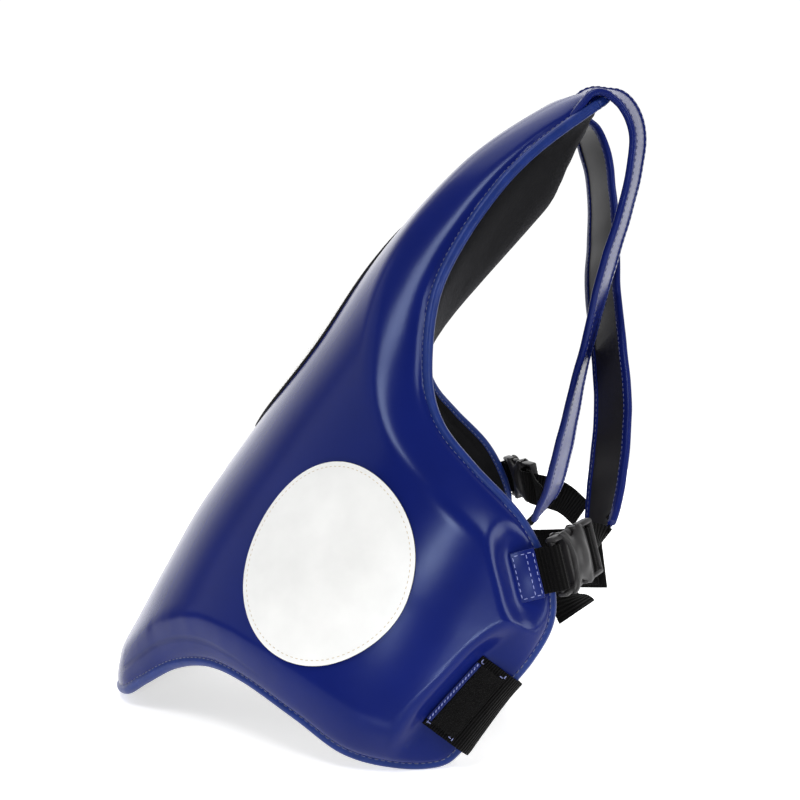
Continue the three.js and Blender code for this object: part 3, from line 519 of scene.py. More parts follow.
class Form:
    """Points, faces, finish numbers and pattern coordinates of one piece."""

    def __init__(self):
        self.points, self.faces, self.slots, self.maps = [], [], [], []
        self.count = 0

    def add(self, points, faces, slot=0, uv=None):
        """Adds points with faces that count from the first of them."""
        points = np.asarray(points, float).reshape(-1, 3)
        self.points.append(points)
        self.maps.append(np.zeros((len(points), 2)) if uv is None else np.asarray(uv, float).reshape(-1, 2))
        slots = slot if isinstance(slot, (list, np.ndarray)) else [slot] * len(faces)
        self.faces.extend([tuple(int(k) + self.count for k in face) for face in faces])
        self.slots.extend(int(s) for s in slots)
        self.count += len(points)

    def plate(self, over, under, slot=0, uv=None):
        """Adds two sheets with the same outline and the strip between them."""
        n, m = over.shape[:2]
        i = np.arange(n * m).reshape(n, m)
        quads = np.stack([i[:-1, :-1], i[1:, :-1], i[1:, 1:], i[:-1, 1:]], -1).reshape(-1, 4)
        loop = grid_rim(i)
        follow = np.roll(loop, -1)
        strip = np.stack([loop + n * m, follow + n * m, follow, loop], -1)
        self.add(np.concatenate([over.reshape(-1, 3), under.reshape(-1, 3)]),
                 np.concatenate([quads, quads[:, ::-1] + n * m, strip]), slot,
                 None if uv is None else np.concatenate([uv.reshape(-1, 2)] * 2))

    def sweep(self, rings, slots=0, uv=None):
        """Adds a closed section carried along a path, with its two ends closed."""
        n, m = rings.shape[:2]
        i = np.arange(n * m).reshape(n, m)
        j = np.roll(i, -1, axis=1)
        quads = np.stack([i[:-1], j[:-1], j[1:], i[1:]], -1).reshape(-1, 4)
        row = list(np.tile(slots if isinstance(slots, list) else [slots] * m, n - 1))
        self.add(rings, [*quads, i[0][::-1], i[-1]], [*row, row[0], row[0]], uv)

    def make(self, name, node, slot, materials, sharp=60):
        """The piece as an object in metres, riding on the vest in place of a node."""
        mesh = bpy.data.meshes.new(name)
        mesh.from_pydata((np.vstack(self.points) * MM).tolist(), [], self.faces)
        for material in materials:
            mesh.materials.append(material)
        mesh.polygons.foreach_set("material_index", self.slots)
        layer = mesh.uv_layers.new(name="pattern")
        corners = np.empty(len(mesh.loops), int)
        mesh.loops.foreach_get("vertex_index", corners)
        layer.data.foreach_set("uv", (np.vstack(self.maps)[corners] * MM).ravel())
        work = bmesh.new()
        work.from_mesh(mesh)
        bmesh.ops.recalc_face_normals(work, faces=work.faces)
        work.to_mesh(mesh)
        work.free()
        mesh.shade_smooth()
        mesh.set_sharp_from_angle(angle=math.radians(sharp))
        piece = add_object(name, mesh)
        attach(piece, "root")
        if node:
            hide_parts(node)
        return piece


def rounded_block(low, high, radius, segments=3):
    """Points and faces of a box with rounded edges."""
    work = bmesh.new()
    bmesh.ops.create_cube(work, size=1)
    size = np.array(high, float) - np.array(low, float)
    centre = (np.array(high, float) + np.array(low, float)) / 2
    for vertex in work.verts:
        vertex.co = Vector(centre + size * np.array(vertex.co))
    edge = min(radius, 0.49 * size.min())
    bmesh.ops.bevel(work, geom=list(work.edges), offset=edge, segments=segments, profile=0.5, affect="EDGES")
    work.verts.index_update()
    points = np.array([vertex.co for vertex in work.verts])
    faces = [[vertex.index for vertex in face.verts] for face in work.faces]
    work.free()
    return points, faces


def placed(points, place):
    """Points carried by a 4 by 4 placing."""
    return np.asarray(points, float) @ place[:3, :3].T + place[:3, 3]


def stitches(form, line, normals, pitch, length, thread, slot=0, sink=0.25, lean=0.0):
    """Rows of short thread stitches that lie on a surface."""
    run = lengths(line)
    count = max(int(run[-1] / pitch), 1)
    at = (np.arange(count) + 0.5) * run[-1] / count
    where, ahead, behind = (at_length(line, run, at + d) for d in (0, 0.4, -0.4))
    up = unit(at_length(normals, run, at))
    tangent = unit(ahead - behind)
    tangent = unit(tangent + unit(np.cross(up, tangent)) * lean)
    side = unit(np.cross(up, tangent))
    turn = np.arange(6) * math.pi / 3
    stations = ((-0.5, 0.35, -0.5), (-0.28, 1, 0), (0.28, 1, 0), (0.5, 0.35, -0.5))
    for w, t, s, n in zip(where, tangent, side, up):
        rings = np.array([
            w + t * length * f + n * thread * (0.5 - sink + dip)
            + np.outer(np.cos(turn), s) * thread * 0.5 * r + np.outer(np.sin(turn), n) * thread * 0.5 * r
            for f, r, dip in stations])
        form.sweep(rings, slot)


# Finishes

class Finish:
    """Builds a node material step by step."""

    def __init__(self, name, colour, roughness, **sockets):
        self.material = bpy.data.materials.new(name)
        self.material.use_nodes = True
        self.nodes = self.material.node_tree.nodes
        self.links = self.material.node_tree.links
        self.shader = self.nodes["Principled BSDF"]
        self.colour = colour
        self.bump = None
        self.shader.inputs["Base Color"].default_value = (*colour, 1)
        self.shader.inputs["Roughness"].default_value = roughness
        for key, value in sockets.items():
            self.shader.inputs[key.replace("_", " ")].default_value = value

    def node(self, kind, **values):
        """A node with the values of its sockets or settings."""
        made = self.nodes.new(kind)
        for key, value in values.items():
            if hasattr(made, key):
                setattr(made, key, value)
            else:
                made.inputs[key].default_value = value
        return made

    def texture(self, kind, output, source="Object", **values):
        """Output of a texture in metres, on the object or on its pattern."""
        made = self.node("ShaderNodeTex" + kind, **values)
        self.links.new(self.node("ShaderNodeTexCoord").outputs[source], made.inputs["Vector"])
        return made.outputs[output]

    def noise(self, scale, detail, rough):
        """Soft noise from 0 to 1."""
        return self.texture("Noise", "Fac", Scale=scale, Detail=detail, Roughness=rough)

    def cells(self, scale):
        """Cells like the grain of leather."""
        return self.texture("Voronoi", "Distance", feature="DISTANCE_TO_EDGE", Scale=scale)

    def bands(self, per_metre, direction):
        """Even bands across the pattern."""
        return self.texture("Wave", "Fac", "UV", bands_direction=direction, Scale=per_metre * math.pi / 10)

    def spread(self, value, low, high, from_low=0.0, from_high=1.0):
        """The same value on another range."""
        ends = {"From Min": from_low, "From Max": from_high, "To Min": low, "To Max": high}
        made = self.node("ShaderNodeMapRange", **ends)
        self.links.new(value, made.inputs["Value"])
        return made.outputs["Result"]

    def tint(self, value, dark, light):
        """Base colour between a darker and a lighter tone of the finish."""
        made = self.node("ShaderNodeMix", data_type="RGBA")
        self.links.new(value, made.inputs["Factor"])
        for name, share in (("A", dark), ("B", light)):
            tone = next(socket for socket in made.inputs if socket.type == "RGBA" and socket.name == name)
            tone.default_value = (*(min(c * share, 1) for c in self.colour), 1)
        out = next(socket for socket in made.outputs if socket.type == "RGBA")
        self.links.new(out, self.shader.inputs["Base Color"])

    def rough(self, value, low, high):
        """Roughness that varies between two values."""
        self.links.new(self.spread(value, low, high), self.shader.inputs["Roughness"])

    def raise_by(self, value, strength, distance):
        """Adds a bump to those before it."""
        made = self.node("ShaderNodeBump", Strength=strength, Distance=distance)
        self.links.new(value, made.inputs["Height"])
        if self.bump:
            self.links.new(self.bump, made.inputs["Normal"])
        self.bump = made.outputs["Normal"]
        self.links.new(self.bump, self.shader.inputs["Normal"])


BLUE_GLOW = (0.6, 0.74, 1, 1)
WHITE = (1, 1, 1, 1)


def leather_finish(name, colour, roughness, grain=1.0, shine=0.24, glow=BLUE_GLOW):
    """Smooth coated leather with a fine grain and a soft unevenness."""
    made = Finish(name, colour, roughness, Specular_IOR_Level=shine, Specular_Tint=glow)
    made.tint(made.noise(26, 4, 0.55), 0.86, 1.16)
    made.rough(made.noise(60, 3, 0.5), roughness - 0.02, roughness + 0.05)
    made.raise_by(made.noise(38, 3, 0.5), 0.12, 0.0012)
    made.raise_by(made.cells(620), 0.10 * grain, 0.00025)
    made.raise_by(made.noise(1500, 2, 0.5), 0.08 * grain, 0.00012)
    return made.material


def body_finish(name, colour, roughness, depth):
    """Body leather with the hem's crease pressed in, and painted shade along the crease."""
    made = Finish(name, colour, roughness, Specular_IOR_Level=0.17, Specular_Tint=BLUE_GLOW)
    made.rough(made.noise(60, 3, 0.5), roughness - 0.01, roughness + 0.025)
    made.raise_by(made.noise(38, 3, 0.5), 0.1, 0.0012)
    made.raise_by(made.noise(700, 3, 0.6), 0.06, 0.00025)
    line = made.node("ShaderNodeAttribute", attribute_name="crease").outputs["Fac"]
    up = made.spread(line, 0, 1, 0.1, 2.0)
    made.raise_by(up, 1.0, depth)
    # Painted shade: the base colour darkens along the crease, multiplied by the random tone of the leather.
    crease_shade_and_tone = made.node("ShaderNodeMath", operation="MULTIPLY")
    made.links.new(up, crease_shade_and_tone.inputs[0])
    made.links.new(made.spread(made.noise(26, 4, 0.55), 0.25, 1), crease_shade_and_tone.inputs[1])
    made.tint(crease_shade_and_tone.outputs["Value"], 0.72, 1.14)
    return made.material


def binding_finish(name, colour):
    """Rolled leather, brighter and a little crinkled."""
    made = Finish(name, colour, 0.36, Specular_IOR_Level=0.32, Specular_Tint=(0.62, 0.74, 1, 1))
    made.tint(made.noise(110, 4, 0.6), 0.7, 1.35)
    made.rough(made.noise(150, 3, 0.6), 0.3, 0.48)
    made.raise_by(made.noise(260, 3, 0.55), 0.3, 0.0007)
    made.raise_by(made.cells(900), 0.12, 0.0002)
    return made.material


def lining_finish(name, colour):
    """Brushed cloth with a fine knit and a light nap."""
    made = Finish(name, colour, 0.92, Specular_IOR_Level=0.15, Sheen_Weight=0.22, Sheen_Roughness=0.4,
                  Sheen_Tint=(0.55, 0.55, 0.6, 1))
    made.tint(made.noise(45, 5, 0.65), 0.65, 1.5)
    made.raise_by(made.noise(900, 4, 0.7), 0.5, 0.0006)
    made.raise_by(made.noise(70, 3, 0.5), 0.25, 0.002)
    return made.material


def web_finish(name, colour, rib, thread_count, sheen):
    """Woven band: ribs across it and threads along it."""
    made = Finish(name, colour, 0.7, Specular_IOR_Level=0.08, Sheen_Weight=sheen, Sheen_Roughness=0.5)
    ribs = made.bands(rib, "Y")
    made.tint(ribs, 0.55, 1.7)
    made.raise_by(ribs, 0.9, 0.0007)
    made.raise_by(made.bands(thread_count, "X"), 0.5, 0.0003)
    made.raise_by(made.noise(2200, 2, 0.6), 0.2, 0.0002)
    return made.material


def pile_finish(name, colour):
    """Fuzzy loops with dust in them."""
    made = Finish(name, colour, 0.95, Specular_IOR_Level=0.12, Sheen_Weight=0.08, Sheen_Roughness=0.5)
    made.tint(made.noise(700, 4, 0.75), 0.35, 2.4)
    made.raise_by(made.noise(900, 5, 0.75), 1.0, 0.0015)
    return made.material


def plastic_finish(name, colour):
    """Moulded plastic with a fine spark texture."""
    made = Finish(name, colour, 0.42, Specular_IOR_Level=0.36)
    made.tint(made.noise(120, 3, 0.5), 0.85, 1.2)
    made.rough(made.noise(220, 3, 0.6), 0.36, 0.5)
    made.raise_by(made.noise(2600, 2, 0.6), 0.12, 0.0001)
    return made.material


def thread_finish(name, colour):
    """Twisted sewing thread."""
    made = Finish(name, colour, 0.6, Sheen_Weight=0.2)
    made.tint(made.noise(900, 2, 0.5), 0.7, 1.25)
    made.raise_by(made.noise(3000, 2, 0.5), 0.3, 0.0002)
    return made.material


FINISHES = {}


def finishes():
    """All finishes of the vest, made once."""
    if not FINISHES:
        c = bpy.context.scene.vest_colours
        crease = bpy.context.scene.vest_sizes.crease_depth
        FINISHES.update(
            body=body_finish("padded_leather", c.leather, 0.215, crease),
            leather=leather_finish("navy_leather", c.leather, 0.3),
            strap=leather_finish("strap_leather", c.leather, 0.3),
            binding=binding_finish("rolled_binding", c.binding),
            lining=lining_finish("brushed_lining", c.lining),
            strap_back=leather_finish("strap_backing", (0.02, 0.019, 0.022), 0.36, 1.6, 0.6, WHITE),
            patch=leather_finish("white_leather", c.patch, 0.42, 1.4),
            cut=leather_finish("dark_cut_edge", (0.02, 0.017, 0.014), 0.6),
            tan=thread_finish("tan_thread", (0.52, 0.4, 0.22)),
            thread=thread_finish("pale_thread", c.thread),
            navy_thread=thread_finish("navy_thread", [k * 0.3 for k in c.thread]),
            web=web_finish("ribbed_webbing", c.webbing, 460, 900, 0.02),
            elastic=web_finish("ribbed_elastic", c.webbing, 700, 620, 0.03),
            pile=pile_finish("loop_pile", c.webbing),
            plastic=plastic_finish("buckle_plastic", c.plastic),
        )
    return FINISHES


# Rim places

def rim_frames(start, end, step):
    """Stations along a stretch of the rim: length along it, rim point, way out and way up."""
    count = max(int((end - start) / step), 8)
    s = np.linspace(start, end, count + 1)

    def at(place):
        return at_length(RIM_LOOP, RIM_RUN, place % RIM_RUN[-1])

    u, v = at(s).T
    tangent = unit(sum(unit(at(s + d) - at(s - d)) for d in (1.0, 2.5, 4.0)))
    here = middle(u, v)
    out = unit(middle(u + tangent[:, 1], v - tangent[:, 0]) - here)
    return s, here, out, normal(u, v)


def rim_marks():
    """Lengths along the rim where each of its four bindings starts and ends."""
    hem, edge, neck = (lengths(line)[-1] for line in (HEM_LINE, EDGE_LINE, NECK_LINE))
    stops = np.cumsum([0, 2 * hem, edge, 2 * neck, edge])
    return dict(zip(("hem", "left_edge", "neck", "right_edge"), zip(stops[:-1], stops[1:])))


def binding_section(reach, wall):
    """Rounded channel section: outer face round the rim, then the inner face back."""
    top, low = BINDING_TOP, BINDING_LOW
    high, deep = top + wall, low - wall
    mid, half = (high + deep) / 2, (high - deep) / 2
    turn = np.linspace(math.pi / 2, -math.pi / 2, 11)
    bulge = 2.4
    outside = [(-reach, high - 0.5), (-reach + 0.6, high), (-reach * 0.62, high + 0.05)]
    outside += [(-bulge + bulge * math.cos(a), mid + half * math.sin(a)) for a in turn]
    outside += [(-reach * 0.62, deep - 0.05), (-reach + 0.6, deep), (-reach, deep + 0.5)]
    inside = [(-reach, low), (-wall - 1.2, low), (-wall - 0.9, mid), (-wall - 1.2, top), (-reach, top)]
    return np.array(outside + inside)


class VEST_OT_body(bpy.types.Operator):
    """Padded leather body with its sewn crease."""

    bl_idname = "vest.body"
    bl_label = "Padded body"

    def execute(self, context):
        form = Form()
        u, v = body_grid(half_count=96, row_count=128, inset=3.0)
        outer, inner, rim = pads(u, v)
        thin = RIM_THIN + (1 - RIM_THIN) * np.clip(rim / RIM_TAPER, 0, 1)
        form.plate(lifted(u, v, FLANGE_TOP * thin + outer), lifted(u, v, FLANGE_LOW * thin - inner), 0,
                   np.stack([u, v], -1))
        piece = form.make("padded_leather", "padded_body", "leather", [finishes()["body"]], sharp=70)
        # Distance from the crease: the finish uses it for the crease's bump and for painted shade along it.
        layer = piece.data.attributes.new("crease", "FLOAT", "POINT")
        far = np.full(u.size, CREASE_FAR)
        layer.data.foreach_set("value", np.concatenate([crease_distance(u, v).ravel(), far]))
        return {"FINISHED"}


class VEST_OT_lining(bpy.types.Operator):
    """Brushed lining that follows the inside of the padding."""

    bl_idname = "vest.lining"
    bl_label = "Lining"

    def execute(self, context):
        form = Form()
        u, v = body_grid(half_count=72, row_count=96, inset=3.2)
        _, inner, _ = pads(u, v)
        waves = ripple(u, CRUMPLE["across"], 4) * ripple(v, CRUMPLE["along"], 5)
        crumple = CRUMPLE["height"] * waves * np.clip(inner / CRUMPLE["over"], 0, 1)
        uv = np.stack([u, v], -1)
        form.plate(lifted(u, v, LINING_TOP - inner),
                   lifted(u, v, LINING_LOW - inner - np.clip(crumple, 0, None)), 0, uv)
        piece = form.make("brushed_lining", "lining", "lining", [finishes()["lining"]], sharp=70)
        return {"FINISHED"}


class VEST_OT_bindings(bpy.types.Operator):
    """Rolled bindings round the rim, with their stitches."""

    bl_idname = "vest.bindings"
    bl_label = "Bindings"

    def execute(self, context):
        made = finishes()
        sizes = context.scene.vest_sizes
        reach, wall = sizes.binding_reach / MM, sizes.binding_wall / MM
        stitch = [size / MM for size in (sizes.stitch_pitch, sizes.stitch_length, sizes.thread)]
        section = binding_section(reach, wall)
        lip = np.clip((-section[:, 0] - 3) / 3, 0, 1)
        sign = np.sign(section[:, 1])
        seat = reach * BINDING_SEAM
        seams = Form()
        for name, (start, end) in rim_marks().items():
            s, here, out, up = rim_frames(start + BINDING_GAP, end - BINDING_GAP, BINDING_STEP)
            dip = STITCH_DIP * (0.5 + 0.5 * np.cos(2 * math.pi * s / stitch[0]))[:, None] * lip
            wave = BINDING_WAVE["height"] * ripple(s, BINDING_WAVE["length"], 6)
            reach_out = section[:, 0] + wave[:, None] * lip
            height = section[:, 1] - sign * dip
            rings = here[:, None] + out[:, None] * reach_out[..., None] + up[:, None] * height[..., None]
            rings[..., 2] = np.maximum(rings[..., 2], 0)
            form = Form()
            form.sweep(rings, 0, band_map(lengths(section), s))
            form.make(f"{name}_roll", f"{name}_binding", "binding", [made["binding"]])
            for level, flip in ((BINDING_TOP + wall, 1), (BINDING_LOW - wall, -1)):
                line = here - out * seat + up * level
                if flip > 0 or (line[:, 2] > 1).all():
                    stitches(seams, line, up * flip, *stitch)
        seams.make("rim_stitches", None, "binding", [made["navy_thread"]], sharp=80)
        return {"FINISHED"}


def patch_points(at, radius, turn, height):
    """Places on the leather at a share of a patch's size and a turn round it."""
    tilt = math.radians(at["turn"])
    outer, _, _ = pads(np.array([float(at["across"])]), np.array([float(at["along"])]))
    spread = 1 + outer[0] / look(BEND, "along", "radius", at["along"])
    wide, tall = at["half"] * radius * np.cos(turn), at["tall"] * radius * np.sin(turn)
    u = at["across"] + (wide * math.cos(tilt) - tall * math.sin(tilt)) / spread
    v = at["along"] + wide * math.sin(tilt) + tall * math.cos(tilt)
    outer, _, _ = pads(u, v)
    return lifted(u, v, FLANGE_TOP + outer + height), normal(u, v)


class VEST_OT_patches(bpy.types.Operator):
    """Bare white patches with a dark cut edge and a fine tan seam."""

    bl_idname = "vest.patches"
    bl_label = "Patches"

    def execute(self, context):
        made = finishes()
        materials = [made["patch"], made["cut"], made["tan"]]
        thick = context.scene.vest_sizes.patch_thick / MM
        right = {**LEFT_PATCH, "across": -LEFT_PATCH["across"], "turn": -LEFT_PATCH["turn"]}
        spokes = 144
        round_ = np.linspace(0, 2 * math.pi, spokes + 1)
        turn = np.linspace(0, 2 * math.pi, spokes, endpoint=False)
        radii = np.concatenate([np.linspace(0.03, 0.9, 18), [0.93, 0.96, 0.985, 0.995]])
        grid_r, grid_t = np.meshgrid(radii, turn, indexing="ij")
        dent = 0.35 * np.exp(-((grid_r - PATCH_SEAM) / 0.012) ** 2)
        edge = np.sqrt(np.clip((1 - grid_r) / 0.02, 0, 1))
        for name, at in (("left", LEFT_PATCH), ("right", right), ("front", FRONT_PATCH)):
            face, _ = patch_points(at, grid_r, grid_t, PATCH_GAP + thick * (0.75 + 0.25 * edge) - dent)
            side, _ = patch_points(at, np.full(spokes, 1.0), turn, 0.3 + thick * 0.5)
            foot, _ = patch_points(at, np.full(spokes, 0.998), turn, 0.1)
            centre, _ = patch_points(at, np.zeros(1), np.zeros(1), PATCH_GAP + thick)
            form = Form()
            rows = np.concatenate([face, side[None], foot[None]])
            i = np.arange(rows.shape[0] * spokes).reshape(-1, spokes)
            j = np.roll(i, -1, axis=1)
            quads = np.stack([i[:-1], i[1:], j[1:], j[:-1]], -1)
            form.add(rows, quads.reshape(-1, 4), np.repeat([0] * (len(radii) - 1) + [1, 1], spokes))
            form.add(np.vstack([centre, face[0]]), [(0, 1 + k, 1 + (k + 1) % spokes) for k in range(spokes)])
            level = np.full(spokes + 1, PATCH_GAP + thick - 0.3)
            seam, up = patch_points(at, np.full(spokes + 1, PATCH_SEAM), round_, level)
            stitches(form, seam, up, *SEAMS["patch"], slot=2, sink=0.2)
            form.make(f"{name}_round_patch", f"{name}_patch", "patch", materials)
        return {"FINISHED"}


# Bands along a path

def path_frames(points, wide):
    """Tangent, width and face directions along a path."""
    tangent = unit(np.gradient(points, axis=0))
    across = unit(wide - (wide * tangent).sum(1, keepdims=True) * tangent)
    return tangent, across, np.cross(tangent, across)


def turned(vectors, axes, degrees):
    """Vectors turned about axes."""
    a = np.radians(degrees)[:, None]
    along = (vectors * axes).sum(1, keepdims=True) * axes
    return vectors * np.cos(a) + np.cross(axes, vectors) * np.sin(a) + along * (1 - np.cos(a))


def stand(points):
    """Points of the unshifted standing pose moved to where the vest stands."""
    return np.asarray(points, float) + np.array([0, CENTRE, STAND_UP])


def strap_path(side, count):
    """Centre line and width directions of a shoulder strap."""
    table, sign = STRAPS[side], SIGN[side]
    root = lifted(np.full(4, sign * STRAP_ROOT["across"]), STRAP_ROOT["along"], STRAP_ROOT["height"])
    rest = stand(np.stack([table["x"], table["y"], table["z"]], -1))
    points = smooth_curve(np.vstack([root, rest]), count)
    knots = [run_to(points, knot) for knot in rest]
    turn = {"run": np.array([0, *knots]), "turn": np.append(sign * STRAP_ROOT["turn"], table["turn"])}
    tangent, across, _ = path_frames(points, np.array([1.0, 0, 0]))
    return points, turned(across, tangent, look(turn, "run", "turn", lengths(points)))


def band_rings(points, across, face, section):
    """Section points carried along a path."""
    return points[:, None] + across[:, None] * section[:, 0][:, None] + face[:, None] * section[:, 1][:, None]


def strap_section(width, thick):
    """Strap with a flat middle and bound edges; also which finish each side of it has."""
    w, t = width / 2, thick / 2
    core = t - 0.75
    bound = 5.2
    turn = np.linspace(-math.pi / 2, math.pi / 2, 7)
    right = [(w - t + t * math.cos(a), t * math.sin(a)) for a in turn]
    right = [(w - bound, -core), (w - bound + 0.3, -t), *right, (w - bound + 0.3, t), (w - bound, core)]
    flat = np.linspace(w - bound, bound - w, 9)[1:-1]
    face = [(x, core + 0.25 * (1 - (x / (w - bound)) ** 2)) for x in flat]
    left = [(-x, -y) for x, y in right]
    back = [(-x, -y) for x, y in face]
    points = np.array(right + face + left + back)
    slots = [1] * (len(right) - 1) + [2] * (len(face) + 1) + [1] * (len(left) - 1) + [0] * (len(back) + 1)
    return points, slots


class VEST_OT_straps(bpy.types.Operator):
    """Shoulder straps of leather with bound and stitched edges."""

    bl_idname = "vest.straps"
    bl_label = "Shoulder straps"

    def execute(self, context):
        made = finishes()
        materials = [made[key] for key in ("strap", "strap", "strap_back", "navy_thread")]
        bands = context.scene.vest_bands
        width, thick = bands.strap_width / MM, bands.strap_thick / MM
        section, slots = strap_section(width, thick)
        seat = width / 2 - STRAP_SEAM
        for side in SIGN:
            points, across = strap_path(side, STRAP_STEPS)
            _, across, face = path_frames(points, across)
            run = lengths(points)
            wave = STRAP_WAVE["height"] * ripple(run, STRAP_WAVE["length"], 7)
            points = points + face * wave[:, None] * np.clip(run / STRAP_WAVE["over"], 0, 1)[:, None]
            form = Form()
            form.sweep(band_rings(points, across, face, section), slots, band_map(lengths(section), run))
            for sign in (-1, 1):
                for up in (-1, 1):
                    line = points + across * seat * sign + face * up * (thick / 2)
                    stitches(form, line, face * up, *SEAMS["strap"], slot=3)
            form.make(f"{side}_leather_strap", f"{side}_shoulder_strap", "leather", materials, sharp=45)
        return {"FINISHED"}


# Buckles

def flank_place(side):
    """Placing on a flank: length runs over the rim, width along it, up outward."""
    sign = SIGN[side]
    heading = math.radians(BUCKLE["heading"])
    u, v = np.array([sign * BUCKLE["across"]]), np.array([float(BUCKLE["along"])])
    here = middle(u, v)[0]
    ahead = middle(u + sign * math.cos(heading), v + math.sin(heading))[0]
    up = normal(u, v)[0]
    length = ahead - here
    length = unit(length - up * (length @ up))
    place = np.eye(4)
    place[:3, 0], place[:3, 1], place[:3, 2] = length, np.cross(up, length), up
    place[:3, 3] = here + up * BUCKLE_LIFT[side]
    return place


def buckle_place(side):
    """Placing of a buckle: the flank's placing moved to the loop bar and folded inward."""
    move = np.array(Matrix.Translation((BUCKLE["bar"], 0, 0)))
    fold = np.array(Matrix.Rotation(math.radians(BUCKLE_FOLD[side]), 4, "Y"))
    return flank_place(side) @ move @ fold


def in_place(place, table):
    """Points given by length and height in a placing."""
    return placed(np.stack([table["at"], np.zeros(len(table["at"])), table["up"]], -1), place)


# Female half's hood: its hollow front edge, its end, its inner face, its button and its groove.
HOOD = {"front": 13.4, "hollow": 8.4, "end": 33, "inside": 2.4, "button": 23.5, "groove": 30.6}
HOOD_PLAN = columns(
    "at half", (4, 16.9), (11, 16.9), (14.5, 14.0), (18.5, 12.2), (23.5, 14.0), (28, 16.9), (33, 16.2))


def hood_plate(side):
    """One curved plate of the female half: its front edge is a hollow arc, its back is domed."""
    s = np.linspace(-1, 1, 33)
    t = np.linspace(0, 1, 22)
    ss, tt = np.meshgrid(s, t, indexing="ij")
    front = HOOD["front"] - HOOD["hollow"] * np.abs(ss) ** 2.2
    x = front + tt * (HOOD["end"] - front)
    y = ss * look(HOOD_PLAN, "at", "half", x)
    crown = np.sqrt(np.clip(1 - np.abs(ss) ** 3.2, 0, 1))
    ends = np.clip(np.minimum(tt / 0.10, (1 - tt) / 0.08), 0, 1)
    ends = np.sqrt(1 - (1 - ends) ** 2)
    button = 1.3 * np.exp(-(((x - HOOD["button"]) / 6.2) ** 2 + (y / 9) ** 2) ** 2)
    groove = 0.4 * np.exp(-((x - HOOD["groove"]) / 0.9) ** 2)
    z = 2.5 + (1.0 + 2.0 * crown) * (0.35 + 0.65 * ends) - groove + button
    under = np.stack([x, y, np.full_like(x, HOOD["inside"])], -1)
    over = np.stack([x, y, z], -1)
    flip = np.array([1, 1, side])
    return over * flip, under * flip


# Blocks of each half: length from and to, width from and to, half of the height, edge rounding.
FEMALE_BLOCKS = columns(
    "from to low high half round",
    (-1.6, 9.5, -16.4, -13.2, 3.2, 1.5),
    (-1.6, 9.5, 13.2, 16.4, 3.2, 1.5),
    (-1.6, 1.9, -14.5, 14.5, 1.6, 1.4),
    (8.5, 13, -16.6, -12.6, 3.4, 1.2),
    (8.5, 13, 12.6, 16.6, 3.4, 1.2),
    (24, 29.8, -16.4, -12.8, 3.4, 1.2),
    (24, 29.8, 12.8, 16.4, 3.4, 1.2),
    (10.5, 13, -14, 14, 3.2, 0.8),
)
MALE_BLOCKS = columns(
    "from to low high half round",
    (31, 35.2, -15.2, 15.2, 3.2, 1.3),
    (33, 48.5, -16.2, -13.2, 3.2, 1.4),
    (33, 48.5, 13.2, 16.2, 3.2, 1.4),
    (38, 41, -14, 14, 1.5, 1.2),
    (46, 48.5, -15, 15, 3.0, 1.2),
    (13.5, 31, -3, 3, 2, 0.8),
    (22, 31, 7, 11.6, 2, 1.0),
    (22, 31, -11.6, -7, 2, 1.0),
    (14, 23, 8, 16.3, 2, 1.8),
    (14, 23, -16.3, -8, 2, 1.8),
)


class VEST_OT_buckles(bpy.types.Operator):
    """Side-release buckles with a domed hood, prongs and a ladder."""

    bl_idname = "vest.buckles"
    bl_label = "Buckles"

    def execute(self, context):
        plastic = [finishes()["plastic"]]
        for side in SIGN:
            place = buckle_place(side)
            for half, blocks in (("female", FEMALE_BLOCKS), ("male", MALE_BLOCKS)):
                form = Form()
                for start, end, low, high, tall, radius in zip(*blocks.values()):
                    points, faces = rounded_block((start, low, -tall), (end, high, tall), radius)
                    form.add(placed(points, place), faces)
                if half == "female":
                    for face in (1, -1):
                        over, under = hood_plate(face)
                        form.plate(placed(over, place), placed(under, place))
                form.make(f"{side}_{half}_half", f"{side}_buckle_{half}", "plastic", plastic, sharp=40)
        return {"FINISHED"}


def web_section(width, thick):
    """Flat woven section with rounded selvedges."""
    w, t = width / 2, thick / 2
    turn = np.linspace(-math.pi / 2, math.pi / 2, 5)
    right = [(w - t + t * math.cos(a), t * math.sin(a)) for a in turn]
    return np.array(right + [(x, t) for x in np.linspace(w - t, t - w, 8)[1:-1]]
                    + [(-x, -y) for x, y in right] + [(x, -t) for x in np.linspace(t - w, w - t, 8)[1:-1]])


def band_piece(form, points, wide, width, thick):
    """Adds a flat band along a path, and gives its width and face directions."""
    section = web_section(width, thick)
    _, across, face = path_frames(points, wide)
    form.sweep(band_rings(points, across, face, section), 0, band_map(section[:, 0], lengths(points)))
    return across, face


def loop_form(side, width, thick):
    """Web loop sewn on the flank and turned round the buckle's bar."""
    flank, place = flank_place(side), buckle_place(side)
    knots = np.vstack([in_place(flank, LOOP_LOW), in_place(place, LOOP_TURN), in_place(flank, LOOP_HIGH)])
    form = Form()
    band_piece(form, smooth_curve(knots, 90), flank[:3, 1], width, thick)
    return form


def web_form(side, width, thick):
    """Webbing from the end of the other side's strap, through the ladder, with its free tail."""
    flank, place = flank_place(side), buckle_place(side)
    strap, across = strap_path("right" if side == "left" else "left", STRAP_STEPS)
    tangent, across, _ = path_frames(strap, across)
    start = np.stack([strap[-1] + tangent[-1] * d for d in WEB_START])
    ladder = in_place(place, LADDER)
    points = smooth_curve(np.vstack([start, ladder, stand(TAIL_END[side])]), 190)
    run = lengths(points)
    turning = max(run_to(points, ladder[0]) - WEB_STRAIGHT, 1)
    blend = smooth_step(np.clip((run - WEB_STRAIGHT) / turning, 0, 1))[:, None]
    wide = across[-1] * (1 - blend) + flank[:3, 1] * blend
    if side == "left":
        tail = run_to(points, ladder[-1])
        share = np.clip((run - tail) / (run[-1] - tail), 0, 1)[:, None]
        wide = wide * (1 - share) + np.array(TAIL_WIDE) * share
        wide = wide + np.array(TAIL_SWING) * np.sin(math.pi * share)
    form = Form()
    band_piece(form, points, wide, width, thick)
    return form


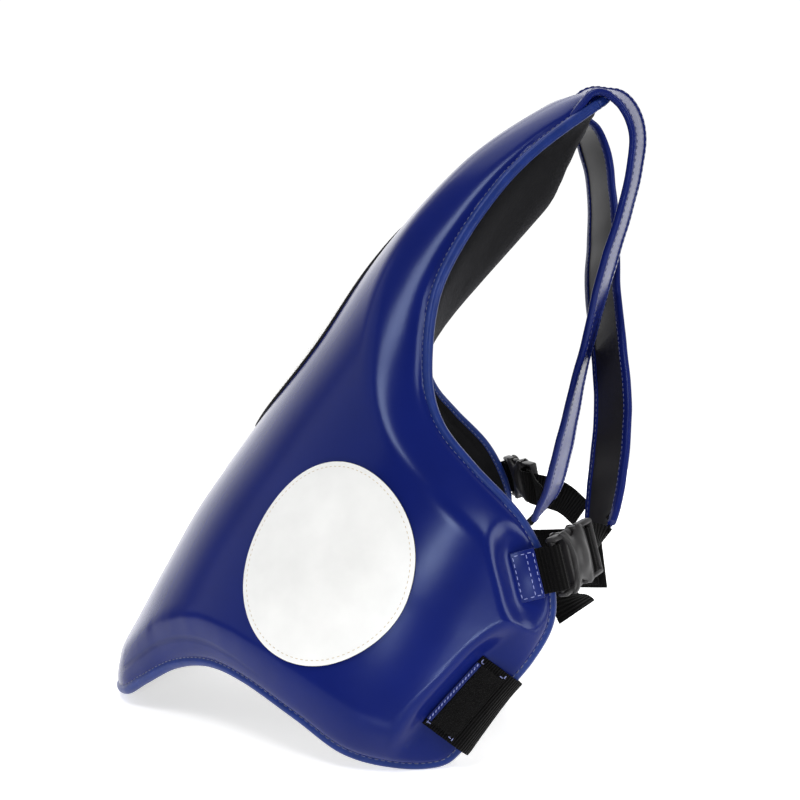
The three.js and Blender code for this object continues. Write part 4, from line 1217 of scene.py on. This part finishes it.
def tab_form(side):
    """Leather tab over the sewn end of the web loop, with its seam."""
    flank = flank_place(side)
    form = Form()
    points, faces = rounded_block(TAB_LOW, TAB_HIGH, 0.6, 2)
    form.add(placed(points, flank), faces)
    top = TAB_HIGH[2]
    for start, end in (*zip(TAB_BOX[:-1], TAB_BOX[1:]), TAB_LINE):
        line = placed(np.linspace((*start, top), (*end, top), 20), flank)
        stitches(form, line, np.tile(flank[:3, 2], (20, 1)), *SEAMS["tab"], slot=1)
    return form


class VEST_OT_webbing(bpy.types.Operator):
    """Buckle loops, strap webbing with its tails, and the sewn leather tabs."""

    bl_idname = "vest.webbing"
    bl_label = "Webbing and tabs"

    def execute(self, context):
        made = finishes()
        web_only, sewn_leather = [made["web"]], [made["leather"], made["thread"]]
        bands = context.scene.vest_bands
        sizes = bands.web_width / MM, bands.web_thick / MM
        for side in SIGN:
            loop, web, tab = loop_form(side, *sizes), web_form(side, *sizes), tab_form(side)
            loop.make(f"{side}_web_loop", f"{side}_buckle_loop", "webbing", web_only)
            web.make(f"{side}_web_strap", f"{side}_strap_webbing", "webbing", web_only)
            tab.make(f"{side}_leather_tab", f"{side}_buckle_tab", "leather", sewn_leather)
        return {"FINISHED"}


def fuzz(form, points, normals, seed):
    """Short bent fibres standing on a surface."""
    pick = np.random.default_rng(seed)
    index = pick.integers(0, len(points), FIBRES)
    lean = unit(pick.normal(size=(FIBRES, 3)))
    tall = pick.uniform(0.5, 1.2, FIBRES)
    for k, sway, height in zip(index, lean, tall):
        foot, up = points[k] + sway * 0.6, normals[k]
        side = unit(np.cross(up, sway)) * 0.09
        mid = foot + up * height * 0.65 + sway * height * 0.25
        tip = foot + up * height * 0.8 + sway * height * 0.8
        form.add([foot - side, foot + side, mid + side, mid - side, tip], [(0, 1, 2, 3), (3, 2, 4)])


def tab_path(row, count):
    """Path of one row of the left waist elastic: sewn in front of the rim, then folded round it."""
    along = WAIST["along"] + row
    rim = float(np.interp(along, SIDE_LINE[:, 1], SIDE_LINE[:, 0]))
    fold = columns(
        "across up",
        (WAIST["from"], 7.6), (rim - 12, 7.9), (rim - 4, 7.4), (rim + 1.2, 3.4), (rim + 1.8, -2.4),
        (rim - 2, -6.6), (rim - 14, -8.4),
    )
    return smooth_curve(lifted(fold["across"], np.full(len(fold["across"]), along), fold["up"]), count)


def left_tab(made, width, thick):
    """Left waist elastic with its leather end and seams, and the loop pile on it."""
    rows = np.linspace(-0.5, 0.5, TAB_ROWS)
    low, high = TAB_INSIDE
    inside = slice(low, high + 1)
    paths = np.stack([tab_path(row * width, 96) for row in rows])
    out = unit(np.cross(np.gradient(paths, axis=1), np.gradient(paths, axis=0)))
    skin = paths + out * thick / 2
    uv = np.stack(np.meshgrid(rows * width, lengths(paths[len(rows) // 2]), indexing="ij"), -1)
    form = Form()
    form.plate(skin, paths - out * thick / 2, 0, uv)
    seams = [(row, slice(*span)) for row in (low - 1, high + 1) for span in ((2, 9), (26, 31))]
    seams += [(slice(*span), column) for column in (3, 31) for span in ((1, 4), (37, 40))]
    for seam in seams:
        stitches(form, skin[seam], out[seam], *SEAMS["elastic"], slot=1)
    end, patch, seam = (inside, TAB_END), (inside, TAB_PILE), (inside, 2)
    form.plate(skin[end] + out[end] * 1.0, skin[end] + out[end] * 0.1, 2, uv[end])
    stitches(form, skin[seam] + out[seam] * 1.0, out[seam], *SEAMS["tab end"], slot=1, lean=0.5)
    materials = [made["elastic"], made["thread"], made["leather"]]
    form.make("left_elastic_tab", "left_waist_tab", "webbing", materials)
    form = Form()
    form.plate(skin[patch] + out[patch] * PILE_THICK, skin[patch] + out[patch] * 0.1, 0, uv[patch])
    cover = skin[patch] + out[patch] * (PILE_THICK - 0.1)
    fuzz(form, cover.reshape(-1, 3), out[patch].reshape(-1, 3), 11)
    form.make("left_loop_pile", "left_loop_patch", "pile", [made["pile"]])


def right_belt(made, width, thick, pile):
    """Right waist belt from its sewn end to its free end, and the hook pile on it."""
    along = float(WAIST["along"])
    sewn = np.array([WAIST["from"], WAIST["from"] + 14, WAIST["rim"] - 4], float)
    start = lifted(-sewn, np.full(3, along), np.full(3, WAIST["height"]))
    points = smooth_curve(np.vstack([start, stand(BELT_FREE)]), 130)
    past = np.linspace(0, 1, len(points)) - BELT_TURN["from"]
    share = smooth_step(np.clip(past / BELT_TURN["over"], 0, 1))[:, None]
    flank = np.array([-270.0])
    upward = unit(middle(flank, np.array([along + 1])) - middle(flank, np.array([along - 1])))
    wide = upward * (1 - share) + np.array([0, 0, 1.0]) * share
    form = Form()
    across, face = band_piece(form, points, wide, width, thick)
    side = np.sign(face[4] @ normal(np.array([-260.0]), np.array([along]))[0])
    front = np.linspace(-PILE_SHARE, PILE_SHARE, 30)[:, None] * width
    line = points[3] + across[3] * front + face[3] * side * thick / 2
    stitches(form, line, np.tile(face[3] * side, (30, 1)), *SEAMS["belt end"], slot=1)
    form.make("right_elastic_belt", "right_waist_belt", "webbing", [made["elastic"], made["thread"]])
    free = slice(*(int(len(points) * at) for at in BELT_PILE.values()))
    across, face = across[free], face[free]
    centre = points[free] + face * PILE_LIFT
    form = Form()
    band_piece(form, centre, across, pile, PILE_THICK)
    places = np.linspace(-PILE_SHARE, PILE_SHARE, 60) * pile
    skin = centre[:, None] + across[:, None] * places[:, None] + face[:, None] * (PILE_THICK / 2)
    fuzz(form, skin.reshape(-1, 3), np.repeat(face, len(places), axis=0), 12)
    form.make("right_hook_pile", "right_hook_patch", "pile", [made["pile"]])


class VEST_OT_waist(bpy.types.Operator):
    """Waist elastic on both flanks with its hook and loop patches."""

    bl_idname = "vest.waist"
    bl_label = "Waist closures"

    def execute(self, context):
        bands = context.scene.vest_bands
        width, thick = bands.belt_width / MM, bands.belt_thick / MM
        left_tab(finishes(), width, thick)
        right_belt(finishes(), width, thick, bands.pile_width / MM)
        return {"FINISHED"}


# Stage, in metres and watts

FLOOR = ((-0.9, -0.6), (0.45, -0.6), (0.45, 0.6), (-0.9, 0.6))
WALL_FADE = {"From Min": -0.92, "From Max": -0.34, "To Min": 1.8, "To Max": 0.06}
WALL_SEEN = 1.06
LIGHTS = columns(
    "x y z aim_x aim_y aim_z size watts",
    (0.95, -0.3, 1.6, 0.08, 0.03, 0.25, 0.42, 10),
    (0.9, 1.35, 1.25, 0.1, 0.05, 0.15, 0.5, 8),
    (0.3, 1.5, 0.3, 0.1, 0.05, 0.12, 0.5, 6),
    (1.45, -0.12, 0.42, 0.17, 0.04, 0.11, 0.2, 4.5),
    (1.02, 0.3, -0.085, 0.18, 0.035, 0.05, 0.08, 1.3),
    (0.3, -1.8, 1.1, 0.0, -0.05, 0.18, 2.0, 12),
    (-0.7, -0.1, 1.9, -0.3, 0.0, 0.1, 1.6, 17),
)
SENSOR = 36
FOCAL_PIXELS = 1212
FRAME_PIXELS = 800
CAMERA_AT = (0.8, 0.02219, 0.2587)
CAMERA_YAW = math.radians(0.709)
CAMERA_PITCH = math.radians(5.42)


def lay_floor():
    """Pale floor that glows a little."""
    mesh = bpy.data.meshes.new("floor")
    mesh.from_pydata([(x, y, 0) for x, y in FLOOR], [], [(0, 1, 2, 3)])
    finish = Finish("studio_floor", (0.93, 0.93, 0.935), 0.16, Specular_IOR_Level=0.32,
                    Emission_Color=WHITE, Emission_Strength=0.59)
    finish.rough(finish.noise(3, 2, 0.5), 0.12, 0.2)
    mesh.materials.append(finish.material)
    add_object("floor", mesh)


def raise_wall(scene):
    """White wall in every view, which lights the vest from behind and is dim elsewhere."""
    world = bpy.data.worlds.new("studio")
    world.use_nodes = True
    nodes, links = world.node_tree.nodes, world.node_tree.links
    way = nodes.new("ShaderNodeTexCoord")
    split = nodes.new("ShaderNodeSeparateXYZ")
    fade = nodes.new("ShaderNodeMapRange")
    fade.interpolation_type = "SMOOTHSTEP"
    for key, number in WALL_FADE.items():
        fade.inputs[key].default_value = number
    ray = nodes.new("ShaderNodeLightPath")
    wall = nodes.new("ShaderNodeMix")
    wall.inputs["B"].default_value = WALL_SEEN
    back = nodes["Background"]
    back.inputs["Color"].default_value = WHITE
    links.new(way.outputs["Generated"], split.inputs["Vector"])
    links.new(split.outputs["X"], fade.inputs["Value"])
    links.new(ray.outputs["Is Camera Ray"], wall.inputs["Factor"])
    links.new(fade.outputs["Result"], wall.inputs["A"])
    links.new(wall.outputs["Result"], back.inputs["Strength"])
    scene.world = world


def point_at(name, data, place, way):
    """A light or camera at a place, turned to look along a way."""
    holder = add_object(name, data)
    holder.location = place
    holder.rotation_euler = way.to_track_quat("-Z", "Y").to_euler()
    return holder


def hang_lights():
    """Square soft boxes."""
    for k, (x, y, z, aim_x, aim_y, aim_z, size, watts) in enumerate(zip(*LIGHTS.values())):
        lamp = bpy.data.lights.new(f"softbox_{k + 1}", "AREA")
        lamp.shape = "SQUARE"
        lamp.size = size
        lamp.energy = watts
        point_at(lamp.name, lamp, (x, y, z), Vector((aim_x, aim_y, aim_z)) - Vector((x, y, z)))


def set_camera(scene):
    """Camera that matches the photo's view."""
    camera = bpy.data.cameras.new("camera")
    camera.sensor_width = SENSOR
    camera.lens = SENSOR * FOCAL_PIXELS / FRAME_PIXELS
    camera.clip_start = 0.01
    level = math.cos(CAMERA_PITCH)
    way = Vector((-math.cos(CAMERA_YAW) * level, -math.sin(CAMERA_YAW) * level, -math.sin(CAMERA_PITCH)))
    scene.camera = point_at("camera", camera, CAMERA_AT, way)


class VEST_OT_stage(bpy.types.Operator):
    """Pale floor, soft lights and the camera."""

    bl_idname = "vest.stage"
    bl_label = "Stage"

    def execute(self, context):
        lay_floor()
        raise_wall(context.scene)
        hang_lights()
        set_camera(context.scene)
        context.scene.view_settings.view_transform = "Standard"
        return {"FINISHED"}


class VEST_PT_panel(bpy.types.Panel):
    """Sizes, colours and pieces of the vest."""

    bl_idname = "VEST_PT_panel"
    bl_label = "Body protector"
    bl_space_type = "VIEW_3D"
    bl_region_type = "UI"
    bl_category = "Vest"

    def draw(self, context):
        for group in (context.scene.vest_sizes, context.scene.vest_bands, context.scene.vest_colours):
            box = self.layout.box()
            for name in group.__annotations__:
                box.prop(group, name)
        for step in STEPS:
            self.layout.operator(step.bl_idname)


STEPS = (
    VEST_OT_stage, VEST_OT_body, VEST_OT_lining, VEST_OT_bindings, VEST_OT_patches, VEST_OT_straps,
    VEST_OT_buckles, VEST_OT_webbing, VEST_OT_waist,
)
CLASSES = (VestSizes, BandSizes, Colours, *STEPS, VEST_PT_panel)


def register():
    """Registers the classes and their settings."""
    for item in CLASSES:
        bpy.utils.register_class(item)
    bpy.types.Scene.vest_sizes = bpy.props.PointerProperty(type=VestSizes)
    bpy.types.Scene.vest_bands = bpy.props.PointerProperty(type=BandSizes)
    bpy.types.Scene.vest_colours = bpy.props.PointerProperty(type=Colours)


def unregister():
    """Removes the classes and their settings."""
    del bpy.types.Scene.vest_colours
    del bpy.types.Scene.vest_bands
    del bpy.types.Scene.vest_sizes
    for item in reversed(CLASSES):
        bpy.utils.unregister_class(item)


def main():
    """Builds the vest."""
    register()
    bpy.ops.vest.stage()
    bpy.ops.vest.body()
    bpy.ops.vest.lining()
    bpy.ops.vest.bindings()
    bpy.ops.vest.patches()
    bpy.ops.vest.straps()
    bpy.ops.vest.buckles()
    bpy.ops.vest.webbing()
    bpy.ops.vest.waist()


if __name__ == "__main__":
    main()
